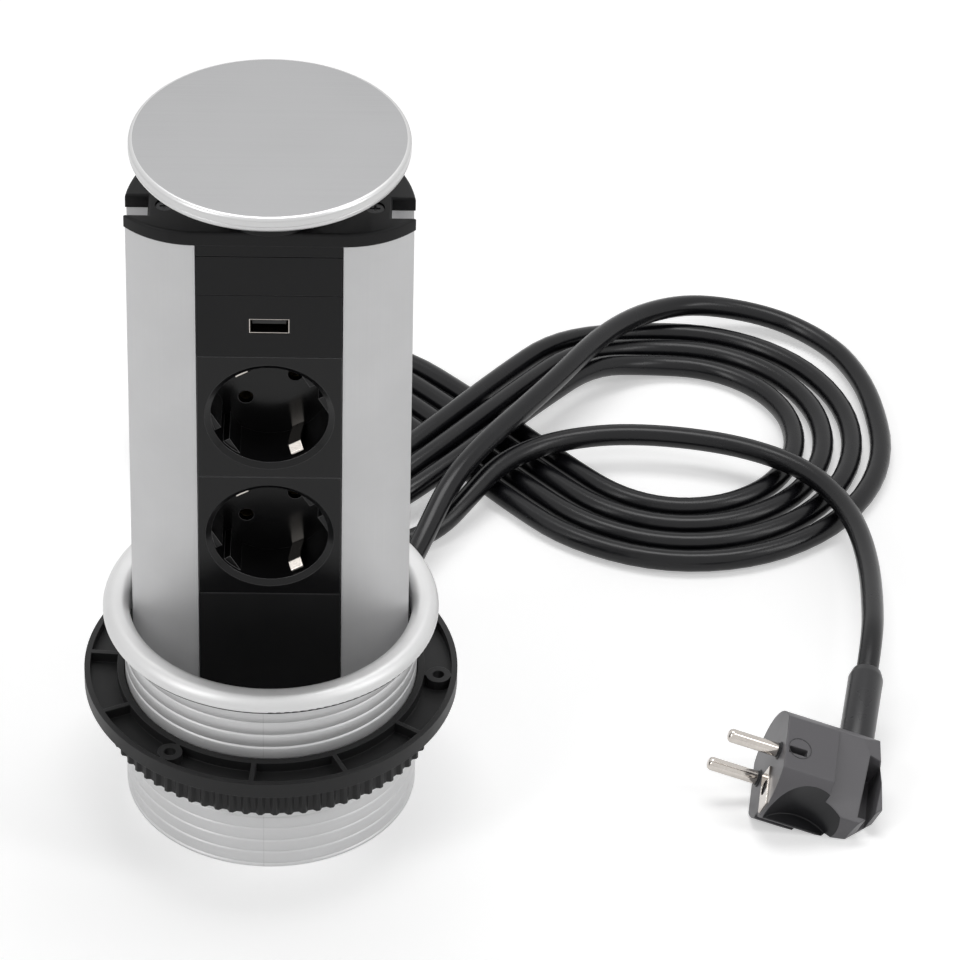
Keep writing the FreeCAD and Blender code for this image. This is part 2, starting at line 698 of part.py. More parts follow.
flute_count = 72
nut = revolve_body("nut_body", [
    (collar_bore, nut_foot),
    (collar_bore + nut_hub, nut_foot),
    (collar_bore + nut_hub, nut_top - nut_web),
    (nut_radius - nut_skirt, nut_top - nut_web),
    (nut_radius - nut_skirt, nut_foot),
    (nut_radius, nut_foot),
    (nut_radius, nut_top),
    (collar_bore, nut_top)])
flute_sketch = sketch_on(nut, "XY_Plane", "flute_outline", nut_foot)
draw_loop(flute_sketch, [
    (-flute_width, -nut_radius - flute_depth),
    (-flute_width / 2, -across(nut_radius, flute_width / 2)),
    (-flute_floor / 2, -nut_radius + flute_depth),
    (flute_floor / 2, -nut_radius + flute_depth),
    (flute_width / 2, -across(nut_radius, flute_width / 2)),
    (flute_width, -nut_radius - flute_depth)])
flute = nut.newObject("PartDesign::Pocket", "flute")
flute.Profile = flute_sketch
flute.Type = "Length"
bind(flute, "Length", nut_height + 1)
flute.Reversed = True
polar(nut, "flutes", flute, flute_count)
finish(nut, "lock_nut")


# Tower extrusion

wing_centre = wing_radius - lip_depth      # wing centre behind the tower axis


def tower_outline(grow, slot_half, slot_floor):
    """Right half of the outside, from the front lip round to the back."""
    wing = wing_radius + grow
    back = tower_radius + grow
    return [
        (channel_half, -lip_depth - grow),
        (channel_half + across(wing, wing_centre + slot_half), -slot_half),
        (slot_floor, -slot_half),
        (slot_floor, slot_half),
        (across(back, slot_half), slot_half)]


right = tower_outline(0, guide_half, guide_floor)
left = [(-x, y) for x, y in reversed(right)]
core_bore = tower_radius - tower_wall
channel_back = across(core_bore, channel_half)
profile = new_body("profile_body")
profile_sketch = sketch_on(profile, "XY_Plane", "profile_outline", profile_foot)
draw_loop(profile_sketch,
          right + left + [(-channel_half, channel_back), (channel_half, channel_back)],
          {0: (wing_radius, 1), 4: (tower_radius, 1), 8: (wing_radius, 1),
           10: (core_bore, -1)})
cell_wall = channel_half + tower_wall
cell_wing = wing_radius - tower_wall
cell_slot = guide_half + tower_wall
cell = [
    (cell_wall, wing_centre - across(cell_wing, tower_wall)),
    (channel_half + across(cell_wing, wing_centre + cell_slot), -cell_slot),
    (guide_floor - tower_wall, -cell_slot),
    (guide_floor - tower_wall, cell_slot),
    (across(core_bore, cell_slot), cell_slot),
    (cell_wall, across(core_bore, cell_wall))]
draw_loop(profile_sketch, cell, {0: (cell_wing, 1), 4: (core_bore, 1)})
draw_loop(profile_sketch, [(-x, y) for x, y in cell],
          {0: (cell_wing, -1), 4: (core_bore, -1)})
pad(profile, profile_sketch, "profile_pad", profile_length)
ports = []
port_holes = []
for side, name in ((1, "right"), (-1, "left")):
    ports.append(cylinder(f"port_{name}", port_radius, profile_length,
                          x=port_place * side, z=profile_foot))
    port_holes.append(cylinder(f"port_hole_{name}", port_bore, profile_length + 2,
                               x=port_place * side, z=profile_foot - 1))
finish(cut("profile_bored", fuse("profile_ported", [profile] + ports),
           fuse("port_holes", port_holes)), "tower_profile")


# Top cap with its side slots, front strip and two screws

def plate_outline(grow, slot_half, slot_floor):
    half = tower_outline(grow, slot_half, slot_floor)
    return half + [(-x, y) for x, y in reversed(half)]


slot_half = guide_half + cap_slot_gap
cap = new_body("cap_body")
cap_sketch = sketch_on(cap, "XY_Plane", "cap_outline", cap_foot)
draw_loop(cap_sketch, plate_outline(cap_overhang, slot_half, guide_floor),
          {0: (wing_radius + cap_overhang, 1), 4: (tower_radius + cap_overhang, 1),
           8: (wing_radius + cap_overhang, 1)})
pad(cap, cap_sketch, "cap_pad", cap_thickness)
doc.recompute()


def edges_at_height(shape, height, within=0.01):
    """Numbers of the edges that lie flat at one height."""
    found = []
    for number, edge in enumerate(shape.Edges, 1):
        low = edge.BoundBox.ZMin
        high = edge.BoundBox.ZMax
        if abs(low - height) < within and abs(high - height) < within:
            found.append(number)
    return found


cap_rounded = doc.addObject("Part::Fillet", "cap_rounded")
cap_rounded.Base = cap
cap_rounded.Edges = [(number, cap_round.value, cap_round.value)
                     for number in edges_at_height(cap.Shape, cap_top.value)]
strip = box("cap_strip", -module_half, -module_front, filler_top + module_gap,
            module_half * 2, plate_thickness, strip_height)
cap_holes = []
for side, name in ((1, "right"), (-1, "left")):
    cap_holes.append(cylinder(f"cap_hole_{name}", shank_radius + head_gap,
                              cap_thickness + 2, x=port_place * side, z=cap_foot - 1))
    cap_holes.append(cylinder(f"cap_recess_{name}", head_radius + head_gap,
                              head_recess + 1, x=port_place * side,
                              z=cap_top - head_recess))
finish(cut("cap_drilled", fuse("cap_with_strip", [cap_rounded, strip]),
           fuse("cap_holes", cap_holes)), "top_cap")


def screw(name, x, seat, up, y=0, length=shank_length):
    """A pan head screw, its head above or below the seat."""
    head = cylinder(f"{name}_head", head_radius, head_height, x=x, y=y,
                    z=seat if up else seat - head_height)
    shank = cylinder(f"{name}_shank", shank_radius, length, x=x, y=y,
                     z=seat - length if up else seat)
    middle = seat + head_height if up else seat - head_height
    slots = [
        box(f"{name}_slot", x - drive_length / 2, y - drive_width / 2,
            middle - drive_depth, drive_length, drive_width, drive_depth * 2),
        box(f"{name}_cross", x - drive_width / 2, y - drive_length / 2,
            middle - drive_depth, drive_width, drive_length, drive_depth * 2)]
    return cut(name, fuse(f"{name}_blank", [head, shank]), fuse(f"{name}_drive", slots))


finish(group("cap_screw_pair", [
    screw("cap_screw_right", port_place, cap_top - head_recess, True),
    screw("cap_screw_left", -port_place, cap_top - head_recess, True)]),
    "top_cap_screws")


# Lid and its post

lid_top = lid_foot + lid_thickness
finish(revolve_body("neck_body", [
    (0, cap_top),
    (neck_foot_radius, cap_top),
    (neck_foot_radius, cap_top + neck_foot_height),
    (neck_radius, cap_top + neck_foot_height),
    (neck_radius, lid_foot),
    (0, lid_foot)]), "lid_neck")
finish(revolve_body("lid_body", [
    (0, lid_foot),
    (lid_radius - lid_foot_round, lid_foot),
    (lid_radius, lid_foot + lid_foot_round),
    (lid_radius, lid_top - lid_top_round),
    (lid_radius - lid_top_round, lid_top),
    (0, lid_top)],
    {1: (lid_foot_round, 1), 3: (lid_top_round, 1)}), "lid")


# Front plates with snap fins at their sides

def module_plate(name, foot, top):
    low = foot + module_gap / 2
    high = top - module_gap / 2
    face = box(f"{name}_face", -module_half, -module_front, low,
               module_half * 2, plate_thickness, high - low)
    fins = [
        box(f"{name}_fin_right", module_half - clip_thickness, module_back - fin_root,
            low, clip_thickness, clip_depth, high - low),
        box(f"{name}_fin_left", -module_half, module_back - fin_root,
            low, clip_thickness, clip_depth, high - low)]
    return [face] + fins


finish(fuse("filler", module_plate("filler", usb_top, filler_top)), "filler_plate")
finish(fuse("blank", module_plate("blank", profile_foot, blank_top)), "blank_plate")


# USB module: plate, shell, tongue and charger board

shell_half_width = usb_opening_width / 2 + usb_sheet
shell_half_height = usb_opening_height / 2 + usb_sheet
window = box("usb_window", -shell_half_width - usb_gap, -module_front - 1,
             usb_middle - shell_half_height - usb_gap,
             (shell_half_width + usb_gap) * 2, plate_thickness + 2,
             (shell_half_height + usb_gap) * 2)
finish(cut("usb_front", fuse("usb_blank", module_plate("usb", socket_tops[0], usb_top)),
           window), "usb_plate")
shell_front = -module_front + 0.3
shell_outer = box("shell_outer", -shell_half_width, shell_front,
                  usb_middle - shell_half_height,
                  shell_half_width * 2, usb_depth, shell_half_height * 2)
shell_inner = box("shell_inner", -usb_opening_width / 2, shell_front - 1,
                  usb_middle - usb_opening_height / 2,
                  usb_opening_width, usb_depth + 2, usb_opening_height)
finish(cut("usb_shell_cut", shell_outer, shell_inner), "usb_shell")
tongue_back = box("tongue_back", -usb_opening_width / 2,
                  shell_front + usb_depth - usb_sheet * 4,
                  usb_middle - usb_opening_height / 2,
                  usb_opening_width, usb_sheet * 4, usb_opening_height)
tongue = box("tongue_blade", -tongue_width / 2, shell_front + tongue_setback,
             usb_middle + usb_opening_height / 2 - tongue_thickness - 0.6,
             tongue_width, usb_depth - tongue_setback - usb_sheet, tongue_thickness)
finish(fuse("tongue_fused", [tongue_back, tongue]), "usb_tongue")
finish(box("board_box", -board_width / 2, module_back,
           usb_middle - shell_half_height - board_thickness,
           board_width, board_depth, board_thickness), "usb_board")


# Earthed sockets: the recess is turned about its own axis

def turned(local_x, local_z):
    """A place in the socket's turned axes, seen from the front."""
    angle = math.radians(socket_turn.value)
    cosine = Size(math.cos(angle), f"cos({socket_turn.text})")
    sine = Size(math.sin(angle), f"sin({socket_turn.text})")
    return local_x * cosine - local_z * sine, local_x * sine + local_z * cosine


def bind_turn(thing):
    """Lean a piece by the socket's turn about the Y axis."""
    thing.Placement = Placement(Vector(), Rotation(Vector(0, -1, 0), socket_turn.value))
    thing.setExpression("Placement.Rotation.Angle", socket_turn.text)


def earth_clip(name):
    """A bent spring strip in the socket's own axes: depth along Y, radius along Z."""
    strip = extruded(name, [
        (recess_depth, earth_root),
        (clip_low, earth_bulge),
        (clip_high, earth_bulge),
        (clip_tip, earth_tip),
        (clip_tip, earth_tip - earth_sheet),
        (clip_high, earth_bulge - earth_sheet),
        (clip_low, earth_bulge - earth_sheet),
        (recess_depth, earth_root - earth_sheet)], earth_width,
        turn=Rotation(Vector(0, 1, 0), Vector(0, 0, 1), Vector(1, 0, 0), "ZXY"))
    bind_place(strip, x=-earth_width / 2, y=-module_front)
    return strip


def socket(number, middle):
    name = f"socket_{number}"
    plate = module_plate(name, middle - socket_height / 2, middle + socket_height / 2)
    cup = cylinder(f"{name}_cup", recess_radius + recess_wall,
                   recess_depth, y=-module_front, z=middle, turn=TO_BACK)
    bore = cylinder(f"{name}_bore", recess_radius, recess_depth + 1,
                    y=-module_front - 1, z=middle, turn=TO_BACK)
    mouth = cone(f"{name}_mouth", recess_radius + recess_chamfer * 1.5,
                 recess_radius, recess_chamfer, y=-module_front, z=middle, turn=TO_BACK)
    guide_blank = cylinder(f"{name}_guide_blank", recess_radius + guide_root,
                           recess_depth - guide_setback,
                           y=-module_front + guide_setback, turn=TO_BACK)
    tool_reach = recess_radius + recess_wall
    guide_keep = box(f"{name}_guide_keep", -guide_chord, -module_front, -tool_reach,
                     guide_chord * 2, recess_depth + recess_floor, tool_reach * 2)
    guide_gapper = box(f"{name}_guide_gap", -tool_reach, -module_front, -guide_notch / 2,
                       tool_reach * 2, recess_depth + recess_floor, guide_notch)
    guides = cut(f"{name}_guides", guide_blank,
                 fuse(f"{name}_guide_tool", [guide_keep, guide_gapper]))
    bind_turn(guides)
    guides.setExpression("Placement.Base.z", middle.text)
    block = fuse(f"{name}_block", [
        cut(f"{name}_hollow", fuse(f"{name}_solid", plate + [cup]),
            fuse(f"{name}_recess", [bore, mouth])), guides])
    carrier = cylinder(f"{name}_carrier", recess_radius + recess_wall, recess_floor,
                       y=recess_back, z=middle, turn=TO_BACK)
    holes = []
    contacts = []
    for sign, side in ((1, "right"), (-1, "left")):
        x, z = turned(pin_pitch / 2 * sign, as_size(0))
        holes.append(cylinder(f"{name}_hole_{side}", pin_hole, recess_floor + 2,
                              x=x, y=recess_back - 1, z=middle + z, turn=TO_BACK))
        tube = cylinder(f"{name}_tube_{side}", contact_radius, contact_length,
                        x=x, y=cup_back, z=middle + z, turn=TO_BACK)
        hollow = cylinder(f"{name}_tube_bore_{side}", pin_hole,
                          contact_length - contact_end + 1, x=x, y=cup_back - 1,
                          z=middle + z, turn=TO_BACK)
        contacts.append(cut(f"{name}_contact_{side}", tube, hollow))
    finish(block, f"socket_insert_{number}")
    finish(cut(f"{name}_drilled", carrier, fuse(f"{name}_holes", holes)),
           f"socket_base_{number}")
    finish(group(f"{name}_contacts", contacts), f"line_contacts_{number}")
    clip = earth_clip(f"{name}_clip")
    clips = group(f"{name}_clips", [
        clip, mirrored(f"{name}_clip_low", clip, Vector(), Vector(0, 0, 1))])
    bind_turn(clips)
    clips.setExpression("Placement.Base.z", middle.text)
    finish(clips, f"earth_clips_{number}")


for number, middle in enumerate(socket_middles, 1):
    socket(number, middle)


# Bars behind the sockets and the cores that lead to them

contact_rise = turned(pin_pitch / 2, as_size(0))
bars = []
for sign, side in ((1, "right"), (-1, "left")):
    bar_foot = socket_middles[1] + contact_rise[1] * sign - bar_margin
    bar_top = socket_middles[0] + contact_rise[1] * sign + bar_margin
    bars.append(box(f"bar_{side}", contact_rise[0] * sign - bar_width / 2, contact_back,
                    bar_foot, bar_width, bar_thickness, bar_top - bar_foot))
finish(group("bar_pair", bars), "bus_bars")
earth_foot = socket_middles[1] - earth_bar_margin
finish(box("earth_strip", -bar_width / 2, cup_back, earth_foot, bar_width, bar_thickness,
           socket_middles[0] + earth_bar_margin - earth_foot), "earth_bar")


# Bottom cap: closed below, its full sides stop the tower under the rails

def plain_outline(grow):
    """Outside of the tower with its side grooves filled."""
    wing = wing_radius + grow
    back = tower_radius + grow
    half = [
        (channel_half, -lip_depth - grow),
        (channel_half + across(wing, wing_centre + guide_half), -guide_half),
        (across(back, guide_half), guide_half)]
    bends = {0: (wing, 1), 2: (back, 1), 4: (wing, 1)}
    return half + [(-x, y) for x, y in reversed(half)], bends


foot_cap_inside = tower_foot + foot_cap_floor
foot_cap = new_body("foot_cap_body")
foot_cap_sketch = sketch_on(foot_cap, "XY_Plane", "foot_cap_outline", tower_foot)
outline, bends = plain_outline(as_size(0))
draw_loop(foot_cap_sketch, outline, bends)
pad(foot_cap, foot_cap_sketch, "foot_cap_pad", foot_cap_height)
cavity_sketch = sketch_on(foot_cap, "XY_Plane", "cavity_outline", foot_cap_inside)
outline, bends = plain_outline(-foot_cap_wall)
draw_loop(cavity_sketch, outline, bends)
cavity = foot_cap.newObject("PartDesign::Pocket", "cavity")
cavity.Profile = cavity_sketch
cavity.Type = "Length"
bind(cavity, "Length", foot_cap_height + 1)
cavity.Reversed = True
clamp_foot = outlet_height + cord_diameter / 2
screw_tubes = []
screw_bores = []
posts = []
post_bores = []
for sign, side in ((1, "right"), (-1, "left")):
    screw_tubes.append(cylinder(f"screw_tube_{side}", port_radius,
                                foot_cap_height - foot_cap_floor, x=port_place * sign,
                                z=foot_cap_inside))
    screw_bores.append(cylinder(f"screw_bore_{side}", port_bore, foot_cap_height + 2,
                                x=port_place * sign, z=tower_foot - 1))
    screw_bores.append(cylinder(f"screw_recess_{side}", head_radius + head_gap,
                                head_recess + 1, x=port_place * sign, z=tower_foot - 1))
    posts.append(cylinder(f"post_{side}", clamp_post, clamp_foot - foot_cap_inside,
                          x=clamp_screw_place * sign, y=clamp_place, z=foot_cap_inside))
    post_bores.append(cylinder(f"post_bore_{side}", port_bore,
                               clamp_foot - foot_cap_inside, x=clamp_screw_place * sign,
                               y=clamp_place, z=foot_cap_inside + port_bore))
boot_hole = cylinder("boot_hole", boot_radius + boot_gap, tower_radius - clamp_place,
                     y=clamp_place + clamp_length, z=outlet_height, turn=TO_BACK)
post_pair = turn_to_outlet(fuse("post_pair", posts))
outlet_tools = turn_to_outlet(fuse("outlet_tools", post_bores + [boot_hole]))
finish(cut("foot_cap_drilled", fuse("foot_cap_filled", [foot_cap, post_pair] + screw_tubes),
           fuse("foot_cap_tools", screw_bores + [outlet_tools])), "bottom_cap")
foot_seat = tower_foot + head_recess
finish(group("foot_screw_pair", [
    screw("foot_screw_right", port_place, foot_seat, False, length=long_shank),
    screw("foot_screw_left", -port_place, foot_seat, False, length=long_shank)]),
    "bottom_cap_screws")


# Cord outlet: strain relief, cord end and clamp inside the bottom cap

collar_end = across(tower_radius - foot_cap_wall, boot_collar) - boot_gap
collar_start = collar_end - collar_length
sheath_start = collar_start - sheath_length
boot = along_back("boot_turned", [
    (0, collar_start),
    (boot_collar, collar_start),
    (boot_collar, collar_end),
    (boot_radius, collar_end),
    (boot_radius, collar_end + boot_straight),
    (boot_tip, boot_reach),
    (0, boot_reach)])
finish(turn_to_outlet(boot, outlet_height), "cord_boot")
sheath = along_back("sheath_turned", [
    (0, sheath_start),
    (cord_diameter / 2, sheath_start),
    (cord_diameter / 2, collar_start),
    (0, collar_start)])
finish(turn_to_outlet(sheath, outlet_height), "cord_sheath")
clamp_bar = cut("clamp_drilled", box(
    "clamp_bar", -clamp_width / 2, clamp_place - clamp_length / 2, clamp_foot,
    clamp_width, clamp_length, clamp_height), fuse("clamp_bores", [
        cylinder("clamp_bore_right", port_bore, clamp_height + 2,
                 x=clamp_screw_place, y=clamp_place, z=clamp_foot - 1),
        cylinder("clamp_bore_left", port_bore, clamp_height + 2,
                 x=-clamp_screw_place, y=clamp_place, z=clamp_foot - 1)]))
finish(turn_to_outlet(clamp_bar), "cord_clamp")
clamp_seat = clamp_foot + clamp_height
clamp_screw_pair = group("clamp_screw_pair", [
    screw("clamp_screw_right", clamp_screw_place, clamp_seat, True, y=clamp_place),
    screw("clamp_screw_left", -clamp_screw_place, clamp_seat, True, y=clamp_place)])
finish(turn_to_outlet(clamp_screw_pair), "clamp_screws")


# Guide rails with their brake pads, fixed in the sleeve

rail_foot = profile_foot + rail_drop
rail_top = rail_foot + rail_height
rail_face = guide_floor + rail_gap
rail_half = guide_half - guide_gap
pad_face = rail_face - pad_proud
pad_foot = rail_top - pad_drop - pad_height
rails = []
pads = []
for sign, side in ((1, "right"), (-1, "left")):
    rail_left = rail_face if sign > 0 else -sleeve_bore
    pad_left = pad_face if sign > 0 else -pad_face - pad_depth
    rail = common(f"rail_fitted_{side}", [
        box(f"rail_block_{side}", rail_left, -rail_half, rail_foot,
            sleeve_bore - rail_face, rail_half * 2, rail_height),
        cylinder(f"rail_back_{side}", sleeve_bore, rail_height, z=rail_foot)])
    pocket = box(f"rail_pocket_{side}", pad_left, -pad_width / 2, pad_foot,
                 pad_depth, pad_width, pad_height)
    rails.append(cut(f"rail_{side}", rail, pocket))
    pads.append(box(f"pad_{side}", pad_left, -pad_width / 2, pad_foot,
                    pad_depth, pad_width, pad_height))
finish(group("rail_pair", rails), "guide_rails")
finish(group("pad_pair", pads), "brake_pads")


# Plug in its own axes: X from face to back, Y to the cord side, Z along the pins' row

plug_place = Placement(
    Vector(plug_x.value, plug_y.value, plug_z.value),
    Rotation(plug_yaw.value, plug_pitch.value, plug_roll.value))


def place_plug(thing):
    thing.Placement = plug_place
    bind_place(thing, plug_x, plug_y, plug_z)
    return thing


plug_span = plug_disc * 2
plan = extruded("plug_plan", [
    (0, -plug_disc),
    (plug_length - plug_bevel, -plug_disc),
    (plug_length, -plug_disc + plug_bevel),
    (plug_length, plug_disc - plug_bevel),
    (plug_length - plug_bevel, plug_disc),
    (0, plug_disc)], plug_span)
bind_place(plan, z=-plug_disc)
side_view = extruded("plug_side", [
    (0, -plug_flat),
    (plug_grip, -plug_flat),
    (plug_length, -plug_end_half),
    (plug_length, plug_end_half),
    (plug_grip, plug_flat),
    (0, plug_flat)], plug_span, turn=Rotation(Vector(1, 0, 0), 90))
bind_place(side_view, y=plug_disc)
disc = cylinder("plug_round", plug_disc, plug_length, turn=TO_RIGHT)
facet = extruded("plug_facet", [
    (facet_edge, plug_flat),
    (-plug_disc, facet_low),
    (-plug_disc, plug_disc),
    (facet_edge, plug_disc)], plug_length, turn=Rotation(Vector(1, 1, 1), 120))
bind_place(facet, x=facet_start)
hollow = cylinder("plug_hollow", hollow_radius, plug_span, x=hollow_place,
                  y=-hollow_floor - hollow_radius, z=ledge_height)
strip_groove = box("strip_groove", 0, -plug_disc, ledge_height - strip_step - strip_width,
                   strip_length, strip_depth, strip_width)
handle = box("finger_slot", handle_start, -handle_left, handle_floor,
             handle_length, handle_width, plug_disc)
window = box("window", window_start, window_place, plug_flat - window_depth,
             window_length, window_width, window_depth)
earth_hole = cylinder("earth_hole", plate_hole, pin_length, y=-plate_hole_place,
                      turn=TO_RIGHT)
plug_block = common("plug_block", [plan, side_view, disc])
plug = place_plug(cut("plug_shaped", plug_block, fuse("plug_tools", [
    facet, hollow, strip_groove, handle, window, earth_hole])))
above_floor = box("above_floor", plug_x - plug_span, plug_y - plug_span, plug_rest,
                  plug_span * 2, plug_span * 2, plug_span)
finish(common("plug_rested", [plug, above_floor]), "plug_body")
pins = []
for sign, side in ((1, "upper"), (-1, "lower")):
    blank = cylinder(f"pin_blank_{side}", pin_radius, pin_length,
                     z=pin_pitch / 2 * sign, turn=TO_LEFT)
    doc.recompute()
    pin = doc.addObject("Part::Fillet", f"pin_{side}")
    pin.Base = blank
    pin.Edges = [(number, pin_round.value, pin_round.value)
                 for number, edge in enumerate(blank.Shape.Edges, 1)
                 if edge.BoundBox.XMax < -pin_length.value + 0.01]
    pins.append(pin)
finish(place_plug(group("pin_pair", pins)), "plug_pins")
earth_plate = cut("earth_plate", box(
    "earth_plate_blank", -plate_sheet, -plate_edge, -plate_width / 2,
    plate_sheet, plate_edge - plate_end, plate_width), cylinder(
        "earth_plate_hole", plate_hole, plate_sheet * 2, x=-plate_sheet * 1.5,
        y=-plate_hole_place, turn=TO_RIGHT))
finish(place_plug(earth_plate), "plug_earth")
relief_blank = along_back("relief_blank", [
    (0, 0),
    (relief_radius, 0),
    (relief_radius, relief_length - relief_head),
    (relief_tip, relief_length),
    (0, relief_length)])
relief_blank.Placement = Placement(Vector(), Rotation(Vector(0, 0, 1), relief_lean.value))
relief_blank.setExpression("Placement.Rotation.Angle", relief_lean.text)
bind_place(relief_blank, relief_x, relief_y)
finish(place_plug(cut("relief_shaped", relief_blank, plug_block)), "plug_strain_relief")


# Cords: straight runs with tangent arcs, and a hank on biarcs

RUN_SHARE = 0.45
SIDES = 8


def rounded_wire(points, name):
    """Straight runs joined by tangent arcs, the arc radii printed."""
    edges = []
    radii = []
    here = points[0]
    for before, corner, after in zip(points, points[1:], points[2:]):
        into = corner - before
        out = after - corner
        turn = into.getAngle(out)
        reach = min(into.Length, out.Length) * RUN_SHARE
        radius = reach / math.tan(turn / 2)
        into.normalize()
        out.normalize()
        start = corner - into * reach
        end = corner + out * reach
        inward = (out - into).normalize()
        middle = corner + inward * (radius / math.cos(turn / 2) - radius)
        edges.append(Part.LineSegment(here, start).toShape())
        edges.append(Part.Arc(start, middle, end).toShape())
        radii.append(radius)
        here = end
    edges.append(Part.LineSegment(here, points[-1]).toShape())
    if name:
        print(f"{name} arc radii {min(radii):.0f} to {max(radii):.0f} mm")
    return Part.Wire(edges)


def tube(wire, radius, sides=SIDES):
    """A closed tube along a wire."""
    first = wire.OrderedEdges[0]
    start = first.valueAt(first.FirstParameter)
    ahead = first.tangentAt(first.FirstParameter)
    level = Vector(1, 0, 0) if abs(ahead.z) > 0.9 else Vector(0, 0, 1)
    across_it = ahead.cross(level).normalize()
    upright = across_it.cross(ahead)
    corners = [start + across_it * (radius * math.cos(2 * math.pi * i / sides))
               + upright * (radius * math.sin(2 * math.pi * i / sides))
               for i in range(sides)]
    section = Part.makePolygon(corners + corners[:1])
    shell = Part.BRepOffsetAPI.MakePipeShell(wire)
    shell.add(section)
    shell.build()
    shell.makeSolid()
    return shell.shape()


def feature(name, shape):
    thing = doc.addObject("Part::Feature", name)
    thing.Shape = shape
    return thing


def report_tube(name, thing, wire, radius, sides=SIDES):
    area = sides / 2 * radius ** 2 * math.sin(2 * math.pi / sides)
    print(f"{name} length {wire.Length:.0f} mm, volume {thing.Shape.Volume:.0f}, "
          f"section by length {area * wire.Length:.0f}")


def smooth_step(share):
    share = min(1, max(0, share))
    return share * share * (3 - 2 * share)


slope = math.radians(hank_slope.value)
right_round = right_lobe.value
left_round = left_lobe.value
right_centre = right_round / math.sin(slope)
left_centre = left_round / math.sin(slope)
half_lobe = right_round * (math.pi / 2 + slope)
strand_run = (right_centre + left_centre) * math.cos(slope)
left_lobe_way = 2 * left_round * (math.pi / 2 + slope)
turn_way = 2 * half_lobe + 2 * strand_run + left_lobe_way
raised_start = half_lobe + strand_run + left_lobe_way
raised_end = raised_start + strand_run


def figure(way):
    """Place and outward direction on a figure of eight, by distance along it."""
    way = way % turn_way
    if way < half_lobe:
        angle = -way / right_round
        return (right_centre + right_round * math.cos(angle),
                right_round * math.sin(angle), math.cos(angle), math.sin(angle))
    way -= half_lobe
    if way < strand_run:
        return (right_centre - right_round * math.sin(slope) - way * math.cos(slope),
                -right_round * math.cos(slope) + way * math.sin(slope),
                -math.sin(slope), -math.cos(slope))
    way -= strand_run
    if way < left_lobe_way:
        angle = math.pi / 2 - slope + way / left_round
        return (-left_centre + left_round * math.cos(angle),
                left_round * math.sin(angle), -math.cos(angle), -math.sin(angle))
    way -= left_lobe_way
    if way < strand_run:
        return (-left_centre + left_round * math.sin(slope) + way * math.cos(slope),
                -left_round * math.cos(slope) + way * math.sin(slope),
                -math.sin(slope), math.cos(slope))
    way -= strand_run
    angle = math.pi / 2 + slope - way / right_round
    return (right_centre + right_round * math.cos(angle),
            right_round * math.sin(angle), math.cos(angle), math.sin(angle))


def hank_point(turns):
    """A place on the hank: right lobes shrink and left ones grow with each turn."""
    x, y, out_x, out_y = figure(turns * turn_way)
    step = strand_step.value + strand_fan.value * math.cos(2 * math.pi * turns)
    offset = step * (hank_middle - turns)
    x += out_x * offset
    y += out_y * offset
    way = (turns * turn_way) % turn_way
    away = max(raised_start - way, way - raised_end)
    rise = smooth_step(1 - away / lift_ramp.value)
    tilt = math.radians(hank_tilt.value)
    return Vector(hank_x.value + x * math.cos(tilt) - y * math.sin(tilt),
                  hank_y.value + x * math.sin(tilt) + y * math.cos(tilt),
                  strand_low.value + strand_lift.value * rise)


def hank_direction(turns):
    return (hank_point(turns + 0.0005) - hank_point(turns - 0.0005)).normalize()


def arc_or_line(start, ahead, end):
    """The arc that leaves start in one direction and reaches end."""
    chord = end - start
    along = Vector(chord).normalize()
    sideways = ahead - along * ahead.dot(along)
    if sideways.Length < 0.004:
        return Part.LineSegment(start, end).toShape()
    bend = ahead.getAngle(along)
    sideways.normalize()
    middle = start + chord * 0.5 + sideways * (chord.Length / 2 * math.tan(bend / 2))
    return Part.Arc(start, middle, end).toShape()


def biarc(start, ahead, end, beyond):
    both = ahead + beyond
    chord = end - start
    spread = 2 * (1 - ahead.dot(beyond))
    along = chord.dot(both)
    if spread < 0.000001:
        reach = chord.dot(chord) / (2 * along)
    else:
        reach = (math.sqrt(along ** 2 + spread * chord.dot(chord)) - along) / spread
    middle = (start + end + (ahead - beyond) * reach) * 0.5
    knee = (middle - (start + ahead * reach)).normalize()
    return [arc_or_line(start, ahead, middle), arc_or_line(middle, knee, end)]


CLOSEST_MARK = 0.02
marks = [
    0,
    half_lobe / 2,
    half_lobe,
    half_lobe + strand_run,
    half_lobe + strand_run + left_lobe_way / 4,
    half_lobe + strand_run + left_lobe_way / 2,
    raised_start - lift_ramp.value,
    raised_start,
    raised_end,
    raised_end + lift_ramp.value]
hank_turns = [hank_first]
for turn in range(math.ceil(hank_last)):
    hank_turns += [turn + mark / turn_way for mark in marks
                   if turn + mark / turn_way < hank_last - CLOSEST_MARK]
hank_turns.append(hank_last)
hank_count = len(hank_turns) - 1
hank_points = [hank_point(turns) for turns in hank_turns]
hank_ways = [hank_direction(turns) for turns in hank_turns]
cord_radius = cord_diameter.value / 2
hank_start = hank_points[0] - hank_ways[0] * cord_diameter.value
hank_end = hank_points[-1] + hank_ways[-1] * cord_diameter.value
hank_edges = [Part.LineSegment(hank_start, hank_points[0]).toShape()]
for i in range(hank_count):
    hank_edges += biarc(hank_points[i], hank_ways[i], hank_points[i + 1], hank_ways[i + 1])
hank_edges.append(Part.LineSegment(hank_points[-1], hank_end).toShape())
hank_wire = Part.Wire(hank_edges)


# The free stretches at both ends of the hank

